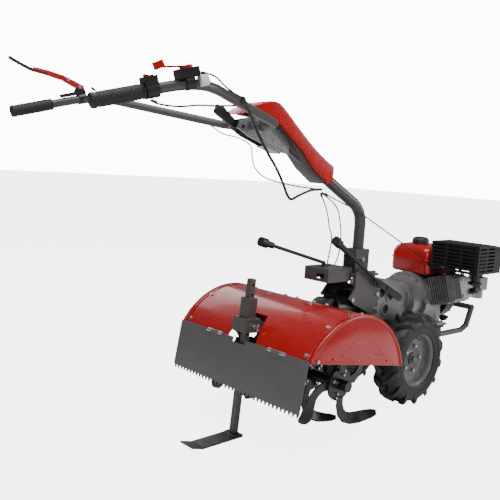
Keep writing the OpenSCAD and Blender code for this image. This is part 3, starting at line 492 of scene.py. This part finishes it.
def tyre(side):
    outline = [(-38, 103), (-47, 103), (-50, 108), (-48.5, 113), (-52, 124), (-53.4, 136), (-51, 149),
               (-43, 157.5),
               (-26, 162), (0, 163.5), (26, 162), (43, 157.5), (51, 149), (53.4, 136), (52, 124), (48.5, 113),
               (50, 108), (47, 103), (38, 103), (38, 112), (44, 128), (44, 140), (30, 152),
               (0, 155), (-30, 152),
               (-44, 140), (-44, 128), (-38, 112)]
    carcass = lathe("tyre", outline, 96)
    # each lug runs from the middle to the shoulder and down the side wall
    rows = [(1, 0.0, 180.6, 158, 7.5), (14, 3.0, 180.4, 158, 7.5), (30, 7.5, 179.4, 156, 8),
            (43, 11.5, 175, 150, 9),
            (50.5, 13.6, 164, 144, 10), (53.6, 14.6, 150, 136, 10.5)]
    sections = []
    for y, turn, top, low, half in rows:
        a = math.radians(turn)
        up = Vector((math.sin(a), 0, math.cos(a)))
        along = Vector((math.cos(a), 0, -math.sin(a)))
        sections.append([(up * r + along * w + Vector((0, y, 0))) / 1000
                         for r, w in ((low, -half - 3), (top - 3, -half), (top, -half + 3), (top, half - 3),
                                      (top - 3, half), (low, half + 3))])
    lug = loft("lug", sections)
    turns = []
    for i in range(14):
        a = Matrix.Rotation(math.tau * i / 14, 4, "Y")
        turns += [a, Matrix.Rotation(math.tau * (i + 0.5) / 14, 4, "Y") @ Matrix.Scale(-1, 4, (0, 1, 0))]
    lugs = mend(copies(lug, turns, "lugs"))
    ribs = [lathe("rib", [(s * 52.6, 127), (s * 54, 127.8), (s * 54, 129), (s * 52.6, 129.8)],
                  96) for s in (-1, 1)]
    o = join([carcass, lugs] + ribs, "tyre_" + side)
    return o


def rim(side):
    s = -1 if side == "right" else 1
    outline = [(45, 101), (44.6, 105), (42, 106.6), (38.5, 105), (37.5, 101), (35, 96), (22, 93), (17, 90),
               (15.5, 80), (14.8, 66), (12, 60), (9, 50), (9, 34), (13, 29), (13, 24), (9, 22),
               (5, 24), (5, 34), (5, 50), (8, 61), (10.8, 67), (11.5, 80),
               (11, 90), (-30, 93), (-37.5, 101), (-42, 106.6),
               (-44.6, 105), (-45, 101), (-41, 98), (-34, 89.5), (12, 86), (15, 92), (22, 90),
               (37, 93.5), (41, 98)]
    disc = lathe("rim", [(s * y, r) for y, r in outline], 96)
    valve = tube("valve", [(0, s * 24, 86), (0, s * 33, 83), (0, s * 44, 79)], 7, 4)
    cap = rod("cap", (0, s * 42, 80), (0, s * 50, 76.5), 9, 12, 1)
    return join([disc, valve, cap], "rim_" + side)


for side, y in (("right", -0.148), ("left", 0.148)):
    hub = SHIFT @ Matrix.Translation((0, y, 0.181))
    done(tyre(side), RUBBER, "drive_axle", ["tyre_" + side], hub, 42)
    done(rim(side), RIM_GREY, "drive_axle", ["rim_" + side], hub, 30)

# ---------- hood ----------

HOOD_X, HOOD_Z, HOOD_R, HALF_W = -7, -24, 262, 300
RISE = math.asin(104 / HOOD_R)


def hood_arc(r, start, stop, steps):
    return [(HOOD_X + r * math.cos(start + (stop - start) * k / steps),
             HOOD_Z + r * math.sin(start + (stop - start) * k / steps)) for k in range(steps + 1)]


skin = hood_arc(HOOD_R - 0.2, RISE, math.pi - RISE, 72)
inner = hood_arc(HOOD_R - 2.8, math.pi - RISE, RISE, 72)
shell = plate("hood_shell_skin", skin + inner, -HALF_W, HALF_W)
rear_cut = loft("rear_cut", [[mm(-320, -64, 60), mm(-320, 64, 60), mm(-180, 64, 60), mm(-180, -64, 60)],
                             [mm(-320, -64, 96), mm(-320, 64, 96), mm(-180, 64, 96), mm(-180, -64, 96)],
                             [mm(-320, -38, 172), mm(-320, 38, 172), mm(-120, 38, 172), mm(-120, -38, 172)]])
front_cut = block("front_cut", (60, -66, -60), (330, 66, 300))
for cutter in (rear_cut, front_cut):
    apply(shell, "BOOLEAN", operation="DIFFERENCE", object=cutter, solver="EXACT")
    bpy.data.objects.remove(cutter)
beads = []
for y in (-286, 286):
    ring = hood_arc(HOOD_R + 0.6, RISE + 0.03, math.pi - RISE - 0.03, 60)
    beads.append(tube("bead", [(x, y, z) for x, z in ring], 4, 3))
lip = [(HOOD_X + (HOOD_R + 1) * math.cos(math.pi - RISE), y,
        HOOD_Z + (HOOD_R + 1) * math.sin(math.pi - RISE) + 2)
       for y in (-298, -66)]
beads.append(tube("lip", lip, 5, 4))
beads.append(tube("lip", [(x, -y, z) for x, y, z in lip], 5, 4))
hood = join([shell] + beads, "hood_shell_skin")
done(hood, RED, "chassis", ["hood_shell"], ROTOR_UNIT, 30)

EYEBROW_LOW = [(-112, 105), (-60, 96), (-34, 90), (-6, 97), (30, 112), (66, 118), (100, 112)]
EYEBROW_TOP = [(-112, 108), (-84, 128), (-40, 148), (10, 156), (60, 148), (98, 128), (112, 112)]
for side, s in (("right", -1), ("left", 1)):
    arc = hood_arc(HOOD_R - 0.5, RISE, math.pi - RISE, 72)
    face = plate("face", arc, s * 299.8, s * 303, 0.4)
    holes = [rod("hole", (x, s * 290, 96), (x, s * 310, 96), 8, 24) for x in (-150, -7, 136)]
    for hole in holes:
        apply(face, "BOOLEAN", operation="DIFFERENCE", object=hole, solver="EXACT")
        bpy.data.objects.remove(hole)
    ring = hood_arc(HOOD_R - 2.2, RISE + 0.02, math.pi - RISE - 0.02, 72)
    roll = tube("roll", [(x, s * 301, z) for x, z in ring], 11.5, 5)
    crease = tube("crease", flowing([(x, s * 302.6, z) for x, z in EYEBROW_LOW], 8), 3.4, 4)
    brow = tube("brow", flowing([(x, s * 302.2, z) for x, z in EYEBROW_TOP], 8), 3.0, 4)
    foot = tube("foot", [(HOOD_X - 236, s * 301.5, 82), (HOOD_X + 236, s * 301.5, 82)], 4, 3)
    done(join([face, roll, crease, brow, foot], "hood_end_" + side + "_panel"), RED, "chassis",
         ["hood_end_" + side], ROTOR_UNIT, 30)
hood_bolts = []
for s in (-1, 1):
    for a in (0.44, 0.95, 1.57, 2.2, 2.66):
        up = Vector((math.cos(a), 0, math.sin(a)))
        hood_bolts.append(bolt("hood_bolt", Vector((HOOD_X, s * 274, HOOD_Z)) + up * (HOOD_R - 0.5), up,
                               9, 5))
    for a, y in ((1.42, 96), (1.42, 40), (1.75, 96)):
        up = Vector((math.cos(a), 0, math.sin(a)))
        hood_bolts.append(bolt("hood_bolt", Vector((HOOD_X, s * y, HOOD_Z)) + up * (HOOD_R - 0.5), up, 10, 6))
done(join(hood_bolts, "hood_bolts"), ZINC, "chassis", (), ROTOR_UNIT, 30)

# ---------- flap ----------

FLAP_X, FLAP_Z, FLAP_W = -254.5, 83, 301
teeth = []
for i in range(36):
    y = -FLAP_W + (i + 0.5) * 2 * FLAP_W / 36
    teeth += [(y - 8.2, 0), (y - 3.5, -10), (y - 1.5, -10.5), (y + 2.5, 0)]
top = [(FLAP_W, 156), (FLAP_W - 3, 159), (163, 159), (163, 152), (73, 152), (73, 159), (28, 159), (28, 144),
       (-28, 144), (-28, 159), (-123, 159), (-123, 152), (-213, 152), (-213, 159), (-FLAP_W + 3, 159),
       (-FLAP_W, 156)]
sheet = plate("flap_plate", teeth + [(FLAP_W, 3)] + top + [(-FLAP_W, 3)], -1.5, 1.5, 0.5)
stand = (Matrix.Translation(mm(FLAP_X, 0, FLAP_Z - 156)) @ Matrix.Rotation(math.radians(90), 4, "Z"))
place(sheet, stand)
knuckles = []
for y in (-168, 118):
    knuckles.append(rod("knuckle", (FLAP_X, y - 17.3, FLAP_Z), (FLAP_X, y + 17.3, FLAP_Z), 13, 24, 1))
    knuckles.append(block("leaf", (FLAP_X - 1.6, y - 17, FLAP_Z - 14), (FLAP_X + 1.6, y + 17, FLAP_Z - 2),
                          0.6))
done(join([sheet] + knuckles, "flap_plate"), FLAP_GREY, "flap", ["rear_flap"], ROTOR_UNIT, 30)

# ---------- tines ----------

def tine_blade():
    """A flat bar bolted to its flange that sweeps back and turns outward into a hooked cutting tip."""
    path = [(44, 0, 0, 16), (70, 0.0, 0, 17), (96, 0.10, 0, 18), (118, 0.24, 1, 19), (136, 0.42, 4, 20),
            (150, 0.60, 12, 20), (158, 0.74, 26, 19), (163, 0.84, 42, 16), (165, 0.90, 55, 9)]
    sections = []
    for i, (r, turn, out, w) in enumerate(path):
        up = Vector((math.sin(-turn), 0, math.cos(-turn)))
        near, far = path[max(i - 1, 0)], path[min(i + 1, len(path) - 1)]
        a = Vector((near[0] * math.sin(-near[1]), near[2], near[0] * math.cos(-near[1])))
        b = Vector((far[0] * math.sin(-far[1]), far[2], far[0] * math.cos(-far[1])))
        along = (b - a).normalized()
        flat = Vector((math.cos(turn), 0, math.sin(turn)))
        flat = (flat - along * flat.dot(along)).normalized()
        thick = along.cross(flat).normalized()
        c = up * r + Vector((0, out, 0))
        t = 4.0 if i < 6 else 3.2
        sections.append([(c + flat * fx * w + thick * ty * t) / 1000
                         for fx, ty in ((-1, -0.2), (-0.8, -1), (0.8, -1), (1, -0.2), (1, 0.2), (0.8, 1),
                                        (-0.8, 1), (-1, 0.2))])
    o = loft("tine", sections)
    return o


TINE_HUB = Matrix.Translation((0.313, 0, 0.197))
FLANGES = (-232, -112, 112, 232)
blade, blades = tine_blade(), []
for n, y in enumerate(FLANGES):
    outward = -1 if y < 0 else 1
    for k in range(4):
        swing = Matrix.Rotation(math.tau * (k / 4 + n * 0.07), 4, "Y")
        way = outward if k % 2 == 0 or y in FLANGES[1:3] else -outward
        b = copy(blade)
        side = Matrix.Scale(way, 4, (0, 1, 0)) if way < 0 else Matrix.Identity(4)
        place(b, Matrix.Translation(mm(0, y + way * 8.2, 0)) @ swing @ side)
        blades.append(b)
done(mend(join(blades, "tine_blades")), BLACK_PAINT, "rotor", ["tines"], TINE_HUB, 35)
bpy.data.objects.remove(blade)

# ---------- handlebars and controls ----------

def bar_point(t, s):
    elbow, grip = Vector((-1093, s * 372, 1079)), Vector((-1371, s * 355, 1001))
    return elbow + (grip - elbow) * t


def bar_turn(s):
    """Turns +Y of a piece to run along the bar towards its elbow, with +Z up."""
    along = (bar_point(0, s) - bar_point(1, s)).normalized()
    across = along.cross(Vector((0, 0, 1))).normalized()
    up = across.cross(along)
    return Matrix(((across.x, along.x, up.x), (across.y, along.y, up.y), (across.z, along.z, up.z))).to_4x4()


for side, s in (("right", -1), ("left", 1)):
    path = [bar_point(0.985, s), (-1093, s * 372, 1079), (-692, s * 140, 1010), (-692, s * 62, 1010)]
    bar = tube("bar", rounded(path, 95, 12), 27, 8)
    boss = lathe("boss", [(s * y, r) for y, r in ((14, 0), (14, 12), (53, 12), (53, 17), (55, 19), (61, 19),
                                                  (62.5, 17), (62.5, 0))], 48)
    place(boss, Matrix.Translation(mm(-692, 0, 1010)))
    done(join([bar, boss], "handlebar_" + side + "_tube"), GREY, "handlebars",
         ["handlebar_" + side], HANDLE, 35)


def grip_sleeve():
    outline = [(0, 14.2), (0, 17.5), (1.5, 19), (5, 19), (6.5, 17.2)]
    outline += [(8 + k * 1.55, 17.2) for k in range(71)]
    outline += [(119.5, 17.4), (122, 18.9), (130, 18.9), (133, 17.8), (134.5, 15.6), (134.5, 14.2)]
    o = lathe("grip", outline, 72)
    for v in o.data.vertices:
        y, r = v.co.y * 1000, math.hypot(v.co.x, v.co.z) * 1000
        if 10 < y < 116 and r > 16:
            a = math.atan2(v.co.x, v.co.z)
            ridge = max(math.sin(12 * a + y * 0.55), math.sin(12 * a - y * 0.55))
            r_new = r + 1.25 * max(0.0, ridge) ** 0.6
            v.co.x, v.co.z = v.co.x * r_new / r, v.co.z * r_new / r
        elif 119 < y < 132 and r > 16:
            a = math.atan2(v.co.x, v.co.z) % (math.tau / 12) - math.tau / 24
            flat = math.cos(math.tau / 24) / math.cos(a)
            v.co.x, v.co.z = v.co.x * flat, v.co.z * flat
    return o


sleeves = []
for s in (-1, 1):
    sleeve = grip_sleeve()
    place(sleeve, Matrix.Rotation(math.pi, 4, "Z"))
    grip_end = bar_point(1, s) + (bar_point(0, s) - bar_point(1, s)).normalized() * 135
    sleeves.append(place(sleeve, Matrix.Translation(Vector(grip_end) / 1000) @ bar_turn(s)))
    sleeves.append(place(rod("plug", (0, 0.5, 0), (0, 3, 0), 29, 24, 1),
                         Matrix.Translation(bar_point(1, s) / 1000)
                         @ bar_turn(s)))
done(join(sleeves, "grip_sleeves"), GRIP_RUBBER, "handlebars", ["grips"], HANDLE, 50)

BAND_START, BAND_WIDTH, BAND_D = bar_point(0.02, -1), 22, 29.4
along = (bar_point(0, -1) - bar_point(1, -1)).normalized()
band = rod("band", BAND_START, BAND_START + along * BAND_WIDTH, BAND_D, 32, 0.6)
done(band, WHITE_PAPER, "handlebars", (), HANDLE)

# ---------- console cover ----------

COVER = [(-772, 1040), (-752, 1056), (-712, 1076), (-684, 1085), (-654, 1091), (-636, 1091), (-620, 1088),
         (-604, 1078), (-574, 1052), (-530, 1012), (-484, 972), (-440, 938), (-394, 908),
         (-380, 902), (-372, 896),
         (-376, 842), (-396, 832), (-466, 884), (-514, 936), (-574, 984), (-624, 1024),
         (-664, 1042), (-734, 1046)]
cover = plate("cover", COVER, -52, 52)
apply(cover, "TRIANGULATE")
alone(cover)
bpy.ops.object.mode_set(mode="EDIT")
bpy.ops.mesh.select_mode(type="FACE")
bpy.ops.object.mode_set(mode="OBJECT")
# the cover is open below and at its lower end
for f in cover.data.polygons:
    f.select = abs(f.normal.y) < 0.5 and (f.normal.z < -0.35 or f.normal.x > 0.9)
bpy.ops.object.mode_set(mode="EDIT")
bpy.ops.mesh.delete(type="ONLY_FACE")
bpy.ops.object.mode_set(mode="OBJECT")
apply(cover, "BEVEL", width=0.009, segments=4, limit_method="ANGLE", angle_limit=math.radians(50))
apply(cover, "SOLIDIFY", thickness=0.003, offset=-1)
seam = tube("seam", flowing([(x, -52.3, z) for x, z in ((-735, 1052), (-664, 1050), (-620, 1032), (-570, 992),
                                                         (-510, 944), (-462, 894), (-398, 846))], 5), 2.2, 3)
seam_two = copy(seam)
place(seam_two, Matrix.Translation((0, 0.1046, 0)))
done(join([cover, seam, seam_two], "console_cover_shell"), RED_PLASTIC, "column",
     ["console_cover"], HANDLE, 40)
# painted shade: a dark strip across the open underside of the cover, standing for the shade in its hollow
under = plate("cover_underside", [(-726, 1042), (-664, 1037), (-626, 1020), (-576, 979), (-516, 931),
                                  (-468, 880),
                                  (-398, 831), (-392, 836), (-462, 889), (-510, 941), (-570, 989),
                                  (-620, 1030),
                                  (-660, 1047), (-726, 1050)], -48.5, 48.5, 0.8)
done(under, UNDERSIDE_SHADE_BROWN, "column", (), HANDLE)

# ---------- cables ----------

BAR_TIE, COLUMN_TIE = (-921, -295, 1060), (-397, -20, 812)
THROTTLE_UPPER = [(-1096, -373, 1098), (-1058, -374, 1094), (-1008, -350, 1074), (-960, -318, 1064), BAR_TIE]
THROTTLE_LOOP = [BAR_TIE, (-875, -275, 1010), (-832, -245, 973), (-751, -190, 915), (-704, -160, 884),
                 (-643, -120, 836), (-598, -90, 793), (-568, -75, 777), (-525, -60, 790), (-459, -40, 808),
                 COLUMN_TIE]
SWITCH_WIRE = [(-1224, -366, 1018), (-1206, -376, 1010), (-1151, -372, 1010), (-1090, -352, 1020),
               (-1010, -320, 1028), (-945, -299, 1036)]
CLUTCH_UPPER = [(-1108, 366, 1106), (-1070, 382, 1090), (-1020, 352, 1071), (-884, 277, 1046),
                (-760, 205, 1020),
                (-700, 180, 986), (-660, 120, 970), (-646, 72, 946), (-648, 56, 909), (-640, 50, 877),
                (-622, 40, 853), (-594, 25, 837), (-557, 8, 828), (-489, -4, 818), (-412, -12, 812)]
THROTTLE_LOWER = [(-385, 12, 798), (-314, -8, 769), (-244, -24, 743), (-168, -34, 707), (-61, -58, 651),
                  (31, -80, 602), (100, -102, 560), (150, -107, 528), (210, -108, 508), (300, -140, 506),
                  (322, -170, 486)]
CLUTCH_LOWER_A = [(-390, 26, 798), (-343, 30, 733), (-313, 38, 674), (-290, 42, 628), (-300, 46, 536)]
CLUTCH_LOWER_B = [(-378, 30, 800), (-292, 34, 754), (-251, 42, 700), (-226, 50, 625), (-230, 54, 560),
                  (-258, 54, 510)]


def sheath(name, route, d):
    o = tube(name, flowing(route, 7), d, 5)
    ends = [rod("ferrule", route[0],
                Vector(route[0]) + (Vector(route[1]) - Vector(route[0])).normalized() * 16,
                d + 3, 20, 0.8)]
    return join([o] + ends, name)


upper = join([sheath("throttle_upper", THROTTLE_UPPER, 5), sheath("switch_wire", SWITCH_WIRE, 5)],
             "bar_cables")
done(upper, CABLE, "handlebars", ["throttle_cable"], HANDLE, 60)
for name, route, d, a, b, start, end in (
        ("throttle_loop", THROTTLE_LOOP, 9, "handlebars", "column", BAR_TIE, COLUMN_TIE),
        ("clutch_upper", CLUTCH_UPPER, 5, "handlebars", "column", (-900, 280, 1046), (-412, -12, 812))):
    o = sheath(name, route, d)
    place(o, HANDLE)
    o.data.materials.clear()
    o.data.materials.append(CABLE)
    smooth(o, 60)
    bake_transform(o)
    if name == "clutch_upper":
        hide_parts("clutch_cable")
for name, route in (("throttle_lower", THROTTLE_LOWER), ("clutch_lower_gate", CLUTCH_LOWER_A),
                    ("clutch_lower_case", CLUTCH_LOWER_B)):
    o = sheath(name, route, 5)
    place(o, SHIFT)
    o.data.materials.clear()
    o.data.materials.append(CABLE)
    smooth(o, 60)
    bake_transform(o)

# ---------- engine ----------

def slab(x0, x1, y0, y1, z, r, steps=6):
    """A rounded rectangle lying at height z."""
    out = []
    for cx, cy, a in ((x1 - r, y1 - r, 0), (x0 + r, y1 - r, 90), (x0 + r, y0 + r, 180),
                      (x1 - r, y0 + r, 270)):
        for k in range(steps + 1):
            t = math.radians(a + 90 * k / steps)
            out.append(mm(cx + r * math.cos(t), cy + r * math.sin(t), z))
    return out


levels = [(483, 16, 20), (486, 9, 24), (492, 6, 26), (538, 5, 28), (539.2, 1.5, 30), (540, 0.4, 31),
          (542.6, 0.4, 31), (543.4, 1.5, 30), (544.5, 5, 28), (562, 6, 28), (576, 9, 28), (587, 15, 28),
          (594, 24, 28), (598.5, 38, 26), (600.6, 56, 20)]
tank = loft("tank_shell", [slab(162 + c, 367 - c, -100 + c, 96 - c, z, r) for z, c, r in levels])
neck = place(lathe("neck", [(0, 0), (0, 38), (2, 38), (3, 36), (3, 0)], 56),
             Matrix.Translation(mm(245, 0, 598)) @ Matrix.Rotation(math.radians(90), 4, "X"))
done(join([tank, neck], "fuel_tank_shell"), RED, "chassis", ["fuel_tank"], SHIFT, 50)

low, high = (Vector(c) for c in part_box("fuel_cap"))
rise = (high.z - low.z) * 1000
cap_r = (high.x - low.x) * 500
cap = lathe("cap", [(0, 0), (0, cap_r), (rise * 0.55, cap_r), (rise * 0.8, cap_r - 3), (rise, cap_r - 11),
                    (rise, cap_r - 15), (rise - 2, cap_r - 17), (rise - 2, 0)], 96)
for v in cap.data.vertices:
    y, r = v.co.y * 1000, math.hypot(v.co.x, v.co.z) * 1000
    if r > cap_r - 5 and y > 1:
        a = math.atan2(v.co.x, v.co.z)
        cut = r - 1.9 * max(0.0, math.sin(24 * a))
        v.co.x, v.co.z = v.co.x * cut / r, v.co.z * cut / r
done(cap, BLACK_PLASTIC, "filler_cap", ["fuel_cap"],
     Matrix.Translation(((low.x + high.x) / 2, (low.y + high.y) / 2,
                         low.z)) @ Matrix.Rotation(math.radians(90), 4, "X"),
     45)

ports = []
for x, z in ((-94, 428), (-36, 413), (-62, 364)):
    port = lathe("port", [(-61.5, 0), (-61.5, 22), (-63.4, 22), (-64.4, 20), (-64.4, 16.5), (-62.4, 15.5),
                          (-62.4, 0)], 48)
    ports.append(place(port, Matrix.Translation(mm(x, 0, z))))
done(join(ports, "gearbox_port_rings"), BLACK_PAINT, "chassis", (), SHIFT)

# ---------- clutch lever and bolts ----------

LEVER = [(-1379, 363, 1169.5), (-1362, 363, 1161), (-1331, 363, 1148), (-1303, 363, 1139), (-1258, 363, 1133),
         (-1209, 363, 1124), (-1175, 364, 1110), (-1143, 364, 1099)]
sleeve = tube("sleeve", flowing(LEVER[:5], 6), 11, 5)
arm = tube("arm", flowing(LEVER[3:], 6), 9, 5)
done(sleeve, BLACK_PLASTIC, "clutch_lever", ["clutch_lever"], HANDLE, 50)
web = plate("web", [(-1306, 1134), (-1258, 1127), (-1209, 1117), (-1172, 1101), (-1146, 1092), (-1134, 1096),
                    (-1136, 1108), (-1166, 1120), (-1205, 1134), (-1256, 1144), (-1302, 1149)], 358, 369, 1.5)
done(join([arm, web], "clutch_arm"), RED_SATIN, "clutch_lever", (), HANDLE, 40)
pins = [bolt("pin", (x, 358, z), (0, -1, 0), 7, 4) for x, z in ((-1190, 1123), (-1150, 1103))]
done(join(pins, "clutch_pins"), ZINC, "clutch_lever", (), HANDLE, 30)

# ---------- stage ----------

bpy.ops.object.select_all(action="DESELECT")
bpy.ops.mesh.primitive_plane_add(size=60, location=(0, 0, 0))
floor = bpy.context.object
floor.name = "studio_floor"
pale = bpy.data.materials.new("pale_floor")
pale.use_nodes = True
pale.node_tree.nodes["Principled BSDF"].inputs["Base Color"].default_value = (0.86, 0.86, 0.86, 1)
pale.node_tree.nodes["Principled BSDF"].inputs["Roughness"].default_value = 0.7
seen = pale.node_tree.nodes.new("ShaderNodeLightPath")
glow = pale.node_tree.nodes.new("ShaderNodeMath")
glow.operation = "MULTIPLY"
glow.inputs[1].default_value = 4.5
pale.node_tree.links.new(seen.outputs["Is Camera Ray"], glow.inputs[0])
pale.node_tree.nodes["Principled BSDF"].inputs["Emission Color"].default_value = (1, 1, 1, 1)
pale.node_tree.links.new(glow.outputs[0], pale.node_tree.nodes["Principled BSDF"].inputs["Emission Strength"])
floor.data.materials.append(pale)


def lamp(name, place, target, size, power):
    data = bpy.data.lights.new(name, "AREA")
    data.shape = "RECTANGLE"
    data.size, data.size_y = size
    data.energy = power
    o = bpy.data.objects.new(name, data)
    bpy.context.scene.collection.objects.link(o)
    o.location = place
    o.rotation_euler = (Vector(target) - Vector(place)).to_track_quat("-Z", "Y").to_euler()


CENTRE = (0.4, 0.1, 0.5)
lamp("ceiling_softbox", (0.1, -0.3, 4.2), CENTRE, (3.2, 1.6), 115)
lamp("key_softbox", (-2.6, -3.4, 3.0), CENTRE, (2.2, 2.2), 90)
lamp("side_softbox", (3.4, -2.6, 1.9), CENTRE, (1.6, 2.2), 60)
lamp("back_softbox", (1.2, 3.6, 2.4), CENTRE, (3.0, 2.0), 50)
world = bpy.data.worlds.new("studio_air")
bpy.context.scene.world = world
world.use_nodes = True
world.node_tree.nodes["Background"].inputs["Color"].default_value = (1, 1, 1, 1)
seen = world.node_tree.nodes.new("ShaderNodeLightPath")
level = world.node_tree.nodes.new("ShaderNodeMapRange")
level.inputs["To Min"].default_value = 0.22
level.inputs["To Max"].default_value = 12
world.node_tree.links.new(seen.outputs["Is Camera Ray"], level.inputs["Value"])
world.node_tree.links.new(level.outputs["Result"], world.node_tree.nodes["Background"].inputs["Strength"])

yaw, pitch, roll = math.radians(43.7), math.radians(7.1), math.radians(3.6)
ahead = Vector((math.cos(pitch) * math.sin(yaw), math.cos(pitch) * math.cos(yaw), -math.sin(pitch)))
right = Vector((math.cos(yaw), -math.sin(yaw), 0))
above = right.cross(ahead)
level_right, level_above = right, above
right = level_right * math.cos(roll) + level_above * math.sin(roll)
above = level_above * math.cos(roll) - level_right * math.sin(roll)
camera = bpy.data.objects.new("camera", bpy.data.cameras.new("camera"))
camera.data.sensor_width = 36
camera.data.lens = 48.0
camera.matrix_world = Matrix((
    (right.x, above.x, -ahead.x, -1.3597), (right.y, above.y, -ahead.y, -1.5269),
    (right.z, above.z, -ahead.z, 0.8753), (0, 0, 0, 1)))
bpy.context.scene.collection.objects.link(camera)
bpy.context.scene.camera = camera
